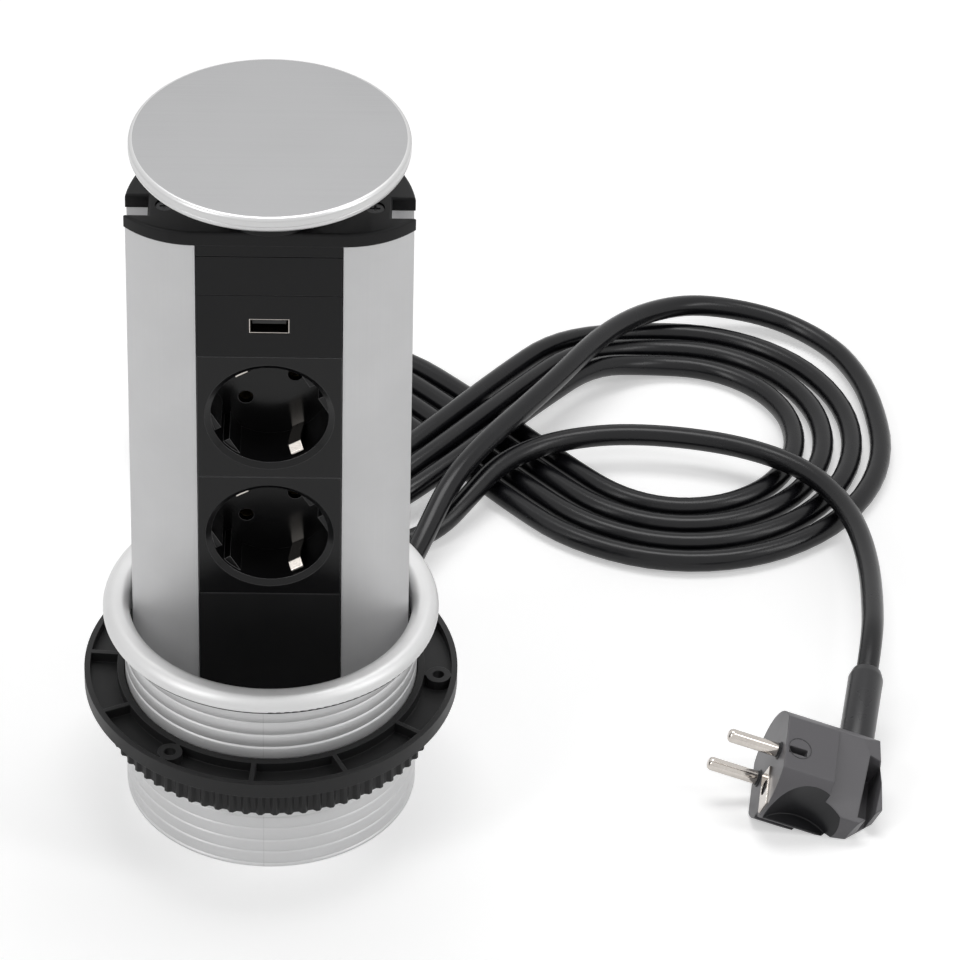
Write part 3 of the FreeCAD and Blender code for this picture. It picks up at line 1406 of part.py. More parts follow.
outlet_way = Vector(math.sin(math.radians(outlet_turn.value)),
                    math.cos(math.radians(outlet_turn.value)), 0)
outlet_end = outlet_way * boot_reach.value + Vector(0, 0, outlet_height.value)
lead_points = [
    outlet_end,
    outlet_end + outlet_way * straight_run.value,
    Vector(45.6, 100.0, 7.6),
    Vector(53.5, 120.0, 11.8),
    Vector(62.5, 140.0, 20.4),
    Vector(75.0, 160.0, 22.8),
    Vector(89.5, 180.5, 22.8),
    Vector(103.0, 200.5, 22.8),
    Vector(115.3, 221.5, 22.0),
    Vector(126.3, 238.0, 19.5),
    Vector(138.9, 251.3, 16.2),
    Vector(154.1, 260.6, 12.8),
    Vector(171.4, 263.6, 9.4),
    Vector(188.5, 260.0, 6.4),
    Vector(203.3, 250.6, 4.6),
    hank_start - hank_ways[0] * straight_run.value,
    hank_start]
relief_turn = math.radians(relief_lean.value)
relief_way = Vector(-math.sin(relief_turn), math.cos(relief_turn), 0)
relief_foot = Vector(relief_x.value, relief_y.value, 0)
relief_end = plug_place.multVec(relief_foot + relief_way * relief_length.value)
relief_out = plug_place.Rotation.multVec(relief_way)
tail_points = [
    hank_end,
    hank_end + hank_ways[-1] * straight_run.value,
    Vector(43.9, 121.0, 4.6),
    Vector(58.7, 130.1, 6.0),
    Vector(69.5, 143.5, 10.5),
    Vector(79.5, 157.5, 13.5),
    Vector(92.5, 168.5, 13.5),
    Vector(108.0, 175.0, 13.4),
    Vector(126.0, 178.0, 13.4),
    Vector(148.0, 176.5, 13.4),
    Vector(171.0, 171.0, 13.4),
    Vector(191.0, 160.0, 13.4),
    Vector(202.7, 145.1, 13.4),
    Vector(210.4, 125.3, 13.8),
    Vector(213.3, 98.2, 16.0),
    Vector(212.5, 67.6, 20.5),
    relief_end + relief_out * straight_run.value,
    relief_end]
lead_wire = rounded_wire(lead_points, "lead")
tail_wire = rounded_wire(tail_points, "tail")
cord_pieces = []
for name, wire in (("cord_lead", lead_wire), ("cord_hank", hank_wire),
                   ("cord_tail", tail_wire)):
    piece = finish(feature(f"{name}_tube", tube(wire, cord_radius)), name)
    report_tube(name, piece, wire, cord_radius)
    cord_pieces.append(piece)
cord_length = lead_wire.Length + hank_wire.Length + tail_wire.Length
print(f"cord length {cord_length:.0f} mm outside the boots")


# Least gaps of the cord, measured on points two millimetres apart

def points_on(wire):
    return wire.discretize(Distance=2.0)


def least_gap(points, others, same=False):
    least = 1000.0
    skip = int(cord_diameter.value * 4)
    for i, point in enumerate(points):
        for j in range(i + skip if same else 0, len(others)):
            least = min(least, point.distanceToPoint(others[j]))
    return least - cord_diameter.value


on_lead = points_on(lead_wire)
on_hank = points_on(hank_wire)
on_tail = points_on(tail_wire)
clear = int(cord_diameter.value * 2)
print(f"least gap of the hank to itself {least_gap(on_hank, on_hank, True):.2f} mm")
print(f"lead to hank {least_gap(on_lead[:-clear], on_hank[clear:]):.2f} mm, "
      f"tail to hank {least_gap(on_tail[clear:], on_hank[:-clear]):.2f} mm, "
      f"lead to tail {least_gap(on_lead, on_tail):.2f} mm")
for name, points in (("lead", on_lead), ("hank", on_hank), ("tail", on_tail)):
    print(f"{name} lowest {min(point.z for point in points) - cord_radius:.2f} mm")


# Cores from the bars to the end of the sheath

core_radius = core_diameter.value / 2
sheath_face = outlet_way * sheath_start.value + Vector(0, 0, outlet_height.value)
outlet_side = Vector(outlet_way.y, -outlet_way.x, 0)
line_x = contact_rise[0].value
line_y = (contact_back + bar_thickness / 2).value
line_feet = [(socket_middles[1] + contact_rise[1] * sign - bar_margin).value
             for sign in (1, -1)]
CORE_DROP = Vector(0, 0, 30)
CORE_GAP = 0.05
cores = []
for name, top, knee, side, rise, back in (
        ("core_right", Vector(line_x, line_y, line_feet[0]), Vector(7.5, 7.5, 32),
         1.5, 0.9, 10),
        ("core_left", Vector(-line_x, line_y, line_feet[1]), Vector(1.0, 9.5, 32),
         -1.5, 0.9, 10),
        ("core_earth", Vector(0, cup_back.value + core_radius + CORE_GAP, earth_foot.value),
         Vector(3.2, 3.5, 34), 0, -1.7, 13)):
    end = sheath_face + outlet_side * side + Vector(0, 0, rise)
    wire = rounded_wire([top, top - CORE_DROP, knee, end - outlet_way * back, end], "")
    cores.append(feature(name, tube(wire, core_radius, 6)))
finish(group("core_bundle", cores), "core_leads")


# Build, check and write

def write_all():
    doc.recompute()
    bad = []
    for thing in doc.Objects:
        if "Invalid" in thing.State or "Error" in thing.State:
            bad.append(f"{thing.Name}: {thing.State}")
    for thing in sub_parts:
        shape = thing.Shape
        if shape.isNull() or not shape.isValid() or not shape.Solids:
            bad.append(f"{thing.Label}: shape")
    if bad:
        raise RuntimeError("; ".join(bad))
    for thing in sub_parts:
        thing.Shape.exportStep(f"parts/{thing.Label}.step")
        bounds = thing.Shape.BoundBox
        print(f"{thing.Label:18s} {len(thing.Shape.Solids)} solids "
              f"x {bounds.XMin:7.1f} {bounds.XMax:7.1f} y {bounds.YMin:7.1f} "
              f"{bounds.YMax:7.1f} z {bounds.ZMin:7.1f} {bounds.ZMax:7.1f}")


write_all()
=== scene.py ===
import math

import bpy
from mathutils import Matrix, Vector


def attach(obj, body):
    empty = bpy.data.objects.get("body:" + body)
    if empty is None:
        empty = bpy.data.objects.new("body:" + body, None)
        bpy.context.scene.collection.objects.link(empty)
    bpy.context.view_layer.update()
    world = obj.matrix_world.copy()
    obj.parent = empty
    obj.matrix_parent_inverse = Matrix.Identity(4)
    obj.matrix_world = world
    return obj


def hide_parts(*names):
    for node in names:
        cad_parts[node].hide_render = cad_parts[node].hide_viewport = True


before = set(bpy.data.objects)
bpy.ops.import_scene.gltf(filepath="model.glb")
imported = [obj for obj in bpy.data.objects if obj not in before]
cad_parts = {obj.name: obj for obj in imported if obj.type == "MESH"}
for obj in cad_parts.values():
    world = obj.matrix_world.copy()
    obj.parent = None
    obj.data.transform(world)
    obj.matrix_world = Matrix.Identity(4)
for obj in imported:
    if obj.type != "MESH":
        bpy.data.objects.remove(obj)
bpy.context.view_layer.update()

# camera and cord come first; angles in degrees, lens and sensor in mm, the rest in metres
cameraSet = {
    "place": (0.0366, -1.574, 1.3585),
    "yaw": 1.22,
    "pitch": 37.97,
    "roll": 1.44,
    "lens": 223.5,
    "sensor": 36,
    "near": 0.05,
    "far": 50,
}


def makeCamera():
    bpy.ops.object.camera_add()
    camera = bpy.context.object
    camera.name = "camera"
    camera.data.sensor_width = cameraSet["sensor"]
    camera.data.lens = cameraSet["lens"]
    camera.data.clip_start = cameraSet["near"]
    camera.data.clip_end = cameraSet["far"]
    turn = (Matrix.Rotation(math.radians(-cameraSet["yaw"]), 4, "Z")
            @ Matrix.Rotation(math.radians(90 - cameraSet["pitch"]), 4, "X")
            @ Matrix.Rotation(math.radians(cameraSet["roll"]), 4, "Z"))
    camera.matrix_world = Matrix.Translation(cameraSet["place"]) @ turn
    bpy.context.scene.camera = camera


makeCamera()
print("camera made")

cordSet = {
    "diameter": 0.008,
    "exit": (0.03170, 0.06797, 0.0104),
    "pointsPerTurn": 24,
    "firstTurn": -0.025,
    "lastTurn": 3.60,
    "middleTurn": 1.75,
    "crossing": (0.0725, 0.1855),
    "tilt": math.radians(1.5),
    "slope": math.radians(50),
    "rightLobe": 0.058,
    "leftLobe": 0.048,
    "step": 0.0099,
    "fan": 0.0012,
    "low": 0.0042,
    "lift": 0.0088,
    "liftRamp": 0.045,
    "length": 3.24,
}
# the route from the outlet to the hank, and from the hank to the plug
leadPoints = [
    (0.0317, 0.06797, 0.0104), (0.03804, 0.08157, 0.0104), (0.0456, 0.100, 0.0076),
    (0.0535, 0.120, 0.0118), (0.0625, 0.140, 0.0204), (0.075, 0.160, 0.0228),
    (0.0895, 0.1805, 0.0228), (0.103, 0.2005, 0.0228), (0.1153, 0.2215, 0.022),
    (0.1263, 0.238, 0.0195), (0.1389, 0.2513, 0.0162), (0.1541, 0.2606, 0.0128),
    (0.1714, 0.2627, 0.0094), (0.1885, 0.260, 0.0064), (0.2033, 0.2506, 0.0046),
    (0.21384, 0.23660, 0.0042),
]
tailPoints = [
    (0.0439, 0.121, 0.0046), (0.0587, 0.1301, 0.006), (0.0695, 0.1435, 0.0105),
    (0.0795, 0.1575, 0.0135), (0.0925, 0.1685, 0.0135), (0.108, 0.175, 0.0134),
    (0.126, 0.178, 0.0134), (0.148, 0.1765, 0.0134), (0.171, 0.171, 0.0134),
    (0.191, 0.160, 0.0134), (0.2027, 0.1451, 0.0134), (0.2104, 0.1253, 0.0138),
    (0.2133, 0.0982, 0.016), (0.2125, 0.0676, 0.0205), (0.21093, 0.04855, 0.0226),
    (0.20847, 0.03423, 0.0191),
]


def hankWays():
    # half of the right lobe, one straight strand, and the left lobe, as lengths along the cord
    slope = cordSet["slope"]
    halfLobe = cordSet["rightLobe"] * (math.pi / 2 + slope)
    run = (cordSet["rightLobe"] + cordSet["leftLobe"]) / math.tan(slope)
    leftWay = 2 * cordSet["leftLobe"] * (math.pi / 2 + slope)
    return halfLobe, run, leftWay


def figureOfEight(way):
    # place and outward direction on the hank's line, by the way along it
    slope = cordSet["slope"]
    right = cordSet["rightLobe"]
    left = cordSet["leftLobe"]
    rightX = right / math.sin(slope)
    leftX = left / math.sin(slope)
    halfLobe, run, leftWay = hankWays()
    if way < halfLobe:
        angle = -way / right
        return (rightX + right * math.cos(angle), right * math.sin(angle),
                math.cos(angle), math.sin(angle))
    way -= halfLobe
    if way < run:
        return (rightX - right * math.sin(slope) - way * math.cos(slope),
                -right * math.cos(slope) + way * math.sin(slope),
                -math.sin(slope), -math.cos(slope))
    way -= run
    if way < leftWay:
        angle = math.pi / 2 - slope + way / left
        return (-leftX + left * math.cos(angle), left * math.sin(angle),
                -math.cos(angle), -math.sin(angle))
    way -= leftWay
    if way < run:
        return (-leftX + left * math.sin(slope) + way * math.cos(slope),
                -left * math.cos(slope) + way * math.sin(slope),
                -math.sin(slope), math.cos(slope))
    way -= run
    angle = math.pi / 2 + slope - way / right
    return (rightX + right * math.cos(angle), right * math.sin(angle),
            math.cos(angle), math.sin(angle))


def hankPoint(turns):
    halfLobe, run, leftWay = hankWays()
    turnWay = 2 * halfLobe + 2 * run + leftWay
    raisedStart = halfLobe + run + leftWay
    way = (turns * turnWay) % turnWay
    x, y, outX, outY = figureOfEight(way)
    step = cordSet["step"] + cordSet["fan"] * math.cos(2 * math.pi * turns)
    offset = step * (cordSet["middleTurn"] - turns)
    x += outX * offset
    y += outY * offset
    # the second strand rises over the first where they cross
    away = max(raisedStart - way, way - raisedStart - run)
    share = min(1, max(0, 1 - away / cordSet["liftRamp"]))
    rise = share * share * (3 - 2 * share)
    tilt = cordSet["tilt"]
    return (cordSet["crossing"][0] + x * math.cos(tilt) - y * math.sin(tilt),
            cordSet["crossing"][1] + x * math.sin(tilt) + y * math.cos(tilt),
            cordSet["low"] + cordSet["lift"] * rise)


def makeCord():
    span = cordSet["lastTurn"] - cordSet["firstTurn"]
    count = round(span * cordSet["pointsPerTurn"])
    hank = [hankPoint(cordSet["firstTurn"] + span * index / count)
            for index in range(count + 1)]
    route = leadPoints + hank + tailPoints
    curve = bpy.data.curves.new("cord", "CURVE")
    curve.dimensions = "3D"
    spline = curve.splines.new("NURBS")
    spline.points.add(len(route) - 1)
    for point, place in zip(spline.points, route):
        point.co = (*place, 1)
        point.radius = cordSet["diameter"] / 2
    spline.order_u = 3
    spline.use_endpoint_u = True
    spline.resolution_u = 5
    curve.bevel_depth = 1
    curve.bevel_resolution = 5
    curve.use_fill_caps = True
    piece = bpy.data.objects.new("cord", curve)
    bpy.context.scene.collection.objects.link(piece)
    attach(piece, "casing")
    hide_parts("cord_lead", "cord_hank", "cord_tail")
    return piece


cord = makeCord()
print("cord laid")


# shader node groups shared by the finishes
def newGroup(name, inputs, outputs):
    group = bpy.data.node_groups.new(name, "ShaderNodeTree")
    for label, kind, value in inputs:
        socket = group.interface.new_socket(label, in_out="INPUT", socket_type=kind)
        socket.default_value = value
    for label, kind in outputs:
        group.interface.new_socket(label, in_out="OUTPUT", socket_type=kind)
    return group, group.nodes.new("NodeGroupInput"), group.nodes.new("NodeGroupOutput")


def addNode(tree, kind, settings=None, values=None):
    node = tree.nodes.new(kind)
    for key, value in (settings or {}).items():
        setattr(node, key, value)
    for key, value in (values or {}).items():
        node.inputs[key].default_value = value
    return node


def join(tree, source, output, target, socket):
    tree.links.new(source.outputs[output], target.inputs[socket])


# the mask grows from 0 to 1 as the rounded normal leaves the flat one
edgeSet = {"samples": 6, "flat": 0.995, "sharp": 0.8}


def makeSoftEdge():
    # rounded edge normal, and a mask of the edges
    group, ends, result = newGroup(
        "softEdge", [("Radius", "NodeSocketFloat", 0.0003)],
        [("Normal", "NodeSocketVector"), ("Edge", "NodeSocketFloat")])
    bevel = addNode(group, "ShaderNodeBevel", {"samples": edgeSet["samples"]})
    shape = addNode(group, "ShaderNodeNewGeometry")
    dot = addNode(group, "ShaderNodeVectorMath", {"operation": "DOT_PRODUCT"})
    reach = addNode(group, "ShaderNodeMapRange", None,
                    {"From Min": edgeSet["flat"], "From Max": edgeSet["sharp"]})
    join(group, ends, "Radius", bevel, "Radius")
    join(group, bevel, "Normal", dot, 0)
    join(group, shape, "Normal", dot, 1)
    join(group, dot, "Value", reach, "Value")
    join(group, bevel, "Normal", result, "Normal")
    join(group, reach, "Result", result, "Edge")
    return group


def makeStreaks():
    # fine lines drawn out along one direction
    group, ends, result = newGroup(
        "streaks", [("Stretch", "NodeSocketVector", (1000, 1000, 10))],
        [("Streak", "NodeSocketFloat")])
    place = addNode(group, "ShaderNodeTexCoord")
    scale = addNode(group, "ShaderNodeVectorMath", {"operation": "MULTIPLY"})
    noise = addNode(group, "ShaderNodeTexNoise", None,
                    {"Scale": 1.0, "Detail": 4.0, "Roughness": 0.7})
    join(group, place, "Object", scale, 0)
    join(group, ends, "Stretch", scale, 1)
    join(group, scale, "Vector", noise, "Vector")
    join(group, noise, "Fac", result, "Streak")
    return group


turnedDrift = 0.004  # how much the lathe lines change from left to right


def makeTurned():
    # lathe lines round the upright axis
    group, ends, result = newGroup(
        "turnedLines", [("Fineness", "NodeSocketFloat", 1500.0)],
        [("Streak", "NodeSocketFloat")])
    place = addNode(group, "ShaderNodeTexCoord")
    flat = addNode(group, "ShaderNodeVectorMath", {"operation": "MULTIPLY"})
    flat.inputs[1].default_value = (1, 1, 0)
    away = addNode(group, "ShaderNodeVectorMath", {"operation": "LENGTH"})
    apart = addNode(group, "ShaderNodeSeparateXYZ")
    both = addNode(group, "ShaderNodeCombineXYZ")
    slow = addNode(group, "ShaderNodeMath", {"operation": "MULTIPLY"})
    slow.inputs[1].default_value = turnedDrift
    scale = addNode(group, "ShaderNodeVectorMath", {"operation": "SCALE"})
    noise = addNode(group, "ShaderNodeTexNoise", None,
                    {"Scale": 1.0, "Detail": 3.0, "Roughness": 0.65})
    join(group, place, "Object", flat, 0)
    join(group, flat, "Vector", away, 0)
    join(group, place, "Object", apart, "Vector")
    join(group, away, "Value", both, "X")
    join(group, apart, "Z", both, "Y")
    join(group, apart, "X", slow, 0)
    join(group, slow, "Value", both, "Z")
    join(group, both, "Vector", scale, 0)
    join(group, ends, "Fineness", scale, "Scale")
    join(group, scale, "Vector", noise, "Vector")
    join(group, noise, "Fac", result, "Streak")
    return group


patchSet = {"from": 0.35, "to": 0.68}  # noise levels between which a patch fades in


def makeGrain():
    # moulded grain and slow patches of wear
    group, ends, result = newGroup(
        "grain",
        [("Size", "NodeSocketFloat", 2500.0), ("Patches", "NodeSocketFloat", 40.0)],
        [("Grain", "NodeSocketFloat"), ("Patch", "NodeSocketFloat")])
    place = addNode(group, "ShaderNodeTexCoord")
    fine = addNode(group, "ShaderNodeTexNoise", None, {"Detail": 2.0, "Roughness": 0.6})
    slow = addNode(group, "ShaderNodeTexNoise", None, {"Detail": 4.0, "Roughness": 0.6})
    reach = addNode(group, "ShaderNodeMapRange", None,
                    {"From Min": patchSet["from"], "From Max": patchSet["to"]})
    join(group, place, "Object", fine, "Vector")
    join(group, place, "Object", slow, "Vector")
    join(group, ends, "Size", fine, "Scale")
    join(group, ends, "Patches", slow, "Scale")
    join(group, slow, "Fac", reach, "Value")
    join(group, fine, "Fac", result, "Grain")
    join(group, reach, "Result", result, "Patch")
    return group


softEdge = makeSoftEdge()
streaks = makeStreaks()
turnedLines = makeTurned()
grain = makeGrain()


def useGroup(tree, group, values=None):
    node = addNode(tree, "ShaderNodeGroup", {"node_tree": group})
    for key, value in (values or {}).items():
        node.inputs[key].default_value = value
    return node


def spread(tree, source, output, low, high):
    # a mask stretched between two values
    node = addNode(tree, "ShaderNodeMapRange", None, {"To Min": low, "To Max": high})
    join(tree, source, output, node, "Value")
    return node


def blendColours(tree, source, output, first, second):
    node = addNode(tree, "ShaderNodeMix", {"data_type": "RGBA"})
    tree.links.new(source.outputs[output], node.inputs[0])
    for socket, colour in ((node.inputs[6], first), (node.inputs[7], second)):
        if isinstance(colour, tuple):
            socket.default_value = (*colour, 1)
        else:
            tree.links.new(colour.outputs[2], socket)
    return node


# what a finish has when its entry below doesn't say otherwise; lengths in metres
# paintedHighlightShare is how far every edge is lightened towards paintedHighlightColour: a
# painted highlight along the edges
plainLook = {
    "metallic": 0.0, "specular": 0.5, "grainSize": 2500.0, "patches": 40.0,
    "patchShade": 0.93, "edgeRadius": 0.0003, "paintedHighlightShare": 0.3, "bump": 0.1, "depth": 0.00005,
}


def newMaterial(name):
    material = bpy.data.materials.new(name)
    material.use_nodes = True
    tree = material.node_tree
    return material, tree, tree.nodes["Principled BSDF"]


def drawSeam(tree, under, seam):
    # faint line down the front where the tube is joined
    place = addNode(tree, "ShaderNodeTexCoord")
    apart = addNode(tree, "ShaderNodeSeparateXYZ")
    offset = addNode(tree, "ShaderNodeMath", {"operation": "SUBTRACT"})
    offset.inputs[1].default_value = seam["place"]
    width = addNode(tree, "ShaderNodeMath", {"operation": "ABSOLUTE"})
    line = addNode(tree, "ShaderNodeMapRange", None,
                   {"From Min": seam["outer"], "From Max": seam["inner"],
                    "To Max": seam["strength"]})
    front = addNode(tree, "ShaderNodeMath", {"operation": "LESS_THAN"})
    front.inputs[1].default_value = 0
    both = addNode(tree, "ShaderNodeMath", {"operation": "MULTIPLY"})
    join(tree, place, "Object", apart, "Vector")
    join(tree, apart, "X", offset, 0)
    join(tree, offset, "Value", width, 0)
    join(tree, width, "Value", line, "Value")
    join(tree, apart, "Y", front, 0)
    join(tree, line, "Result", both, 0)
    join(tree, front, "Value", both, 1)
    return blendColours(tree, both, "Value", under, seam["colour"])


def makeFinish(name, entry):
    look = {**plainLook, **entry}
    material, tree, shader = newMaterial(name)
    shader.inputs["Metallic"].default_value = look["metallic"]
    shader.inputs["Specular IOR Level"].default_value = look["specular"]
    base = useGroup(tree, grain, {"Size": look["grainSize"], "Patches": look["patches"]})
    source, output = base, "Grain"
    if "stretch" in look:
        source, output = useGroup(tree, streaks, {"Stretch": look["stretch"]}), "Streak"
    elif "fineness" in look:
        source, output = useGroup(tree, turnedLines, {"Fineness": look["fineness"]}), "Streak"
    dark, light = look["colours"]
    colour = blendColours(tree, source, output, dark, light)
    shaded = tuple(channel * look["patchShade"] for channel in light)
    worn = blendColours(tree, base, "Patch", colour, shaded)
    soft = useGroup(tree, softEdge, {"Radius": look["edgeRadius"]})
    # painted highlight: the edge mask lightens the colour along rounded edges
    edge = spread(tree, soft, "Edge", 0, look["paintedHighlightShare"])
    final = blendColours(tree, edge, "Result", worn, look.get("paintedHighlightColour", light))
    if "seam" in look:
        final = drawSeam(tree, final, look["seam"])
    tree.links.new(final.outputs[2], shader.inputs["Base Color"])
    rough = spread(tree, base, "Patch", *look["roughness"])
    join(tree, rough, "Result", shader, "Roughness")
    bump = addNode(tree, "ShaderNodeBump", None,
                   {"Strength": look["bump"], "Distance": look["depth"]})
    join(tree, source, output, bump, "Height")
    join(tree, soft, "Normal", bump, "Normal")
    join(tree, bump, "Normal", shader, "Normal")
    return material


finishes = {
    "towerAluminium": {
        "colours": ((0.66, 0.66, 0.665), (0.71, 0.71, 0.715)), "metallic": 0.4,
        "roughness": (0.46, 0.52), "stretch": (2600, 2600, 14), "bump": 0.03,
        "edgeRadius": 0.0002, "paintedHighlightColour": (0.85, 0.85, 0.85)},
    "turnedAluminium": {
        "colours": ((0.76, 0.76, 0.765), (0.82, 0.82, 0.825)), "metallic": 0.35,
        "roughness": (0.42, 0.48), "fineness": 2200.0, "bump": 0.04,
        "edgeRadius": 0.00015, "paintedHighlightColour": (0.98, 0.98, 0.98), "paintedHighlightShare": 0.9,
        "seam": {"place": -0.0015, "outer": 0.00025, "inner": 0.00008, "strength": 0.13,
                 "colour": (0.25, 0.25, 0.25)}},
    "ringAluminium": {
        "colours": ((0.74, 0.74, 0.74), (0.79, 0.79, 0.79)), "metallic": 0.6,
        "roughness": (0.42, 0.48), "fineness": 1600.0, "bump": 0.02},
    "lidFace": {
        "colours": ((0.335, 0.335, 0.34), (0.405, 0.405, 0.41)), "metallic": 0.85,
        "roughness": (0.44, 0.52), "stretch": (9, 1500, 400), "bump": 0.04,
        "patches": 12.0, "paintedHighlightColour": (0.70, 0.70, 0.70), "edgeRadius": 0.0004},
    "lidRim": {
        "colours": ((0.62, 0.62, 0.62), (0.70, 0.70, 0.70)), "metallic": 0.75,
        "roughness": (0.32, 0.38), "fineness": 2000.0, "bump": 0.02},
    "blackPlastic": {
        "colours": ((0.004, 0.004, 0.0045), (0.007, 0.007, 0.0075)), "specular": 0.2,
        "roughness": (0.42, 0.52), "bump": 0.10, "paintedHighlightColour": (0.06, 0.06, 0.062),
        "edgeRadius": 0.0004, "paintedHighlightShare": 0.6},
    "flangePlastic": {
        "colours": ((0.012, 0.012, 0.0125), (0.018, 0.018, 0.0185)), "specular": 0.25,
        "roughness": (0.42, 0.52), "bump": 0.12, "paintedHighlightColour": (0.07, 0.07, 0.072),
        "edgeRadius": 0.0004},
    "socketPlastic": {
        "colours": ((0.0035, 0.0035, 0.004), (0.006, 0.006, 0.0065)), "specular": 0.25,
        "roughness": (0.16, 0.22), "bump": 0.03, "paintedHighlightColour": (0.24, 0.24, 0.245),
        "edgeRadius": 0.00045, "paintedHighlightShare": 0.7},
    "guidePlastic": {
        "colours": ((0.020, 0.020, 0.020), (0.030, 0.030, 0.030)), "specular": 0.35,
        "roughness": (0.40, 0.50), "bump": 0.12},
    "softRubber": {
        "colours": ((0.010, 0.010, 0.010), (0.018, 0.018, 0.018)), "specular": 0.3,
        "roughness": (0.55, 0.68), "bump": 0.25, "grainSize": 1800.0},
    "plugPlastic": {
        "colours": ((0.112, 0.109, 0.116), (0.136, 0.132, 0.140)), "specular": 0.35,
        "roughness": (0.34, 0.44), "bump": 0.10, "paintedHighlightColour": (0.20, 0.20, 0.205),
        "edgeRadius": 0.0008},
    # dark plastic of the collars at the pin feet; on the plug's hollow and ledge it is painted
    # shade
    "collarAndPaintedShadePlastic": {
        "colours": ((0.016, 0.016, 0.018), (0.024, 0.024, 0.026)), "specular": 0.25,
        "roughness": (0.28, 0.36), "bump": 0.06, "paintedHighlightColour": (0.05, 0.05, 0.052),
        "edgeRadius": 0.0008},
    "reliefPlastic": {
        "colours": ((0.016, 0.016, 0.018), (0.024, 0.024, 0.026)), "specular": 0.4,
        "roughness": (0.26, 0.34), "bump": 0.08, "edgeRadius": 0.0005},
    "nickelPlate": {
        "colours": ((0.42, 0.385, 0.35), (0.66, 0.62, 0.58)), "metallic": 1.0,
        "roughness": (0.08, 0.13), "bump": 0.02, "grainSize": 900.0},
    "zincSteel": {
        "colours": ((0.42, 0.42, 0.43), (0.56, 0.56, 0.57)), "metallic": 1.0,
        "roughness": (0.26, 0.38), "bump": 0.05, "grainSize": 1400.0},
    "darkSteel": {
        "colours": ((0.020, 0.020, 0.021), (0.045, 0.045, 0.047)), "metallic": 0.6,
        "roughness": (0.26, 0.38), "bump": 0.05, "grainSize": 1400.0},
    # brass darkened as painted shade, for the contacts that sit deep in the socket holes
    "darkBrass": {
        "colours": ((0.10, 0.075, 0.035), (0.16, 0.12, 0.06)), "metallic": 0.8,
        "roughness": (0.34, 0.46), "bump": 0.04},
    "plainBrass": {
        "colours": ((0.62, 0.46, 0.20), (0.78, 0.60, 0.30)), "metallic": 1.0,
        "roughness": (0.24, 0.36), "stretch": (1200, 1200, 20), "bump": 0.04},
}
materials = {name: makeFinish(name, look) for name, look in finishes.items()}
print("finishes made", len(materials))


cordLook = {
    "colours": ((0.0028, 0.0028, 0.0038), (0.0052, 0.0052, 0.0065)), "specular": 0.34,
    "roughness": (0.22, 0.30), "grainSize": 1200.0, "patches": 55.0,
    "bump": 0.08, "depth": 0.0001,
}


def makeCordFinish():
    # extruded sheath with faint matt patches
    material, tree, shader = newMaterial("cordSheath")
    shader.inputs["Specular IOR Level"].default_value = cordLook["specular"]
    base = useGroup(tree, grain, {"Size": cordLook["grainSize"],
                                  "Patches": cordLook["patches"]})
    colour = blendColours(tree, base, "Patch", *cordLook["colours"])
    tree.links.new(colour.outputs[2], shader.inputs["Base Color"])
    rough = spread(tree, base, "Patch", *cordLook["roughness"])
    join(tree, rough, "Result", shader, "Roughness")
    bump = addNode(tree, "ShaderNodeBump", None,
                   {"Strength": cordLook["bump"], "Distance": cordLook["depth"]})
    join(tree, base, "Grain", bump, "Height")
    join(tree, bump, "Normal", shader, "Normal")
    return material


boardLook = {
    "laminate": ((0.010, 0.075, 0.028, 1), (0.014, 0.095, 0.036, 1)),
    "track": (0.035, 0.17, 0.06, 1), "trackScale": 160.0, "trackWidth": 0.09,
    "offset": 0.37, "patch": (0.02, 0.11, 0.04, 1), "patchShare": 0.5,
    "roughness": (0.28, 0.42), "grainSize": 1500.0, "patches": 120.0,
}


def makeBoardFinish():
    # green laminate with paler tracks under the lacquer, in slow patches
    material, tree, shader = newMaterial("boardLaminate")
    place = addNode(tree, "ShaderNodeTexCoord")
    first, second = boardLook["laminate"]
    tracks = addNode(tree, "ShaderNodeTexBrick", {"offset": boardLook["offset"]},
                     {"Scale": boardLook["trackScale"],
                      "Mortar Size": boardLook["trackWidth"],
                      "Color1": first, "Color2": second, "Mortar": boardLook["track"]})
    base = useGroup(tree, grain, {"Size": boardLook["grainSize"],
                                  "Patches": boardLook["patches"]})
    colour = addNode(tree, "ShaderNodeMix", {"data_type": "RGBA"})
    colour.inputs[7].default_value = boardLook["patch"]
    join(tree, place, "Object", tracks, "Vector")
    tree.links.new(tracks.outputs["Color"], colour.inputs[6])
    share = spread(tree, base, "Patch", 0.0, boardLook["patchShare"])
    tree.links.new(share.outputs["Result"], colour.inputs[0])
    tree.links.new(colour.outputs[2], shader.inputs["Base Color"])
    rough = spread(tree, base, "Grain", *boardLook["roughness"])
    join(tree, rough, "Result", shader, "Roughness")
    return material


coreLook = {
    # places along X; the earth core lies between the other two
    "brownFrom": 0.0055, "blueTo": -0.0035,
    "earth": ((0.42, 0.50, 0.03), (0.55, 0.62, 0.06)), "brown": (0.14, 0.05, 0.02),
    "blue": (0.03, 0.13, 0.42),
    "roughness": (0.36, 0.5), "grainSize": 1500.0, "patches": 90.0,
}


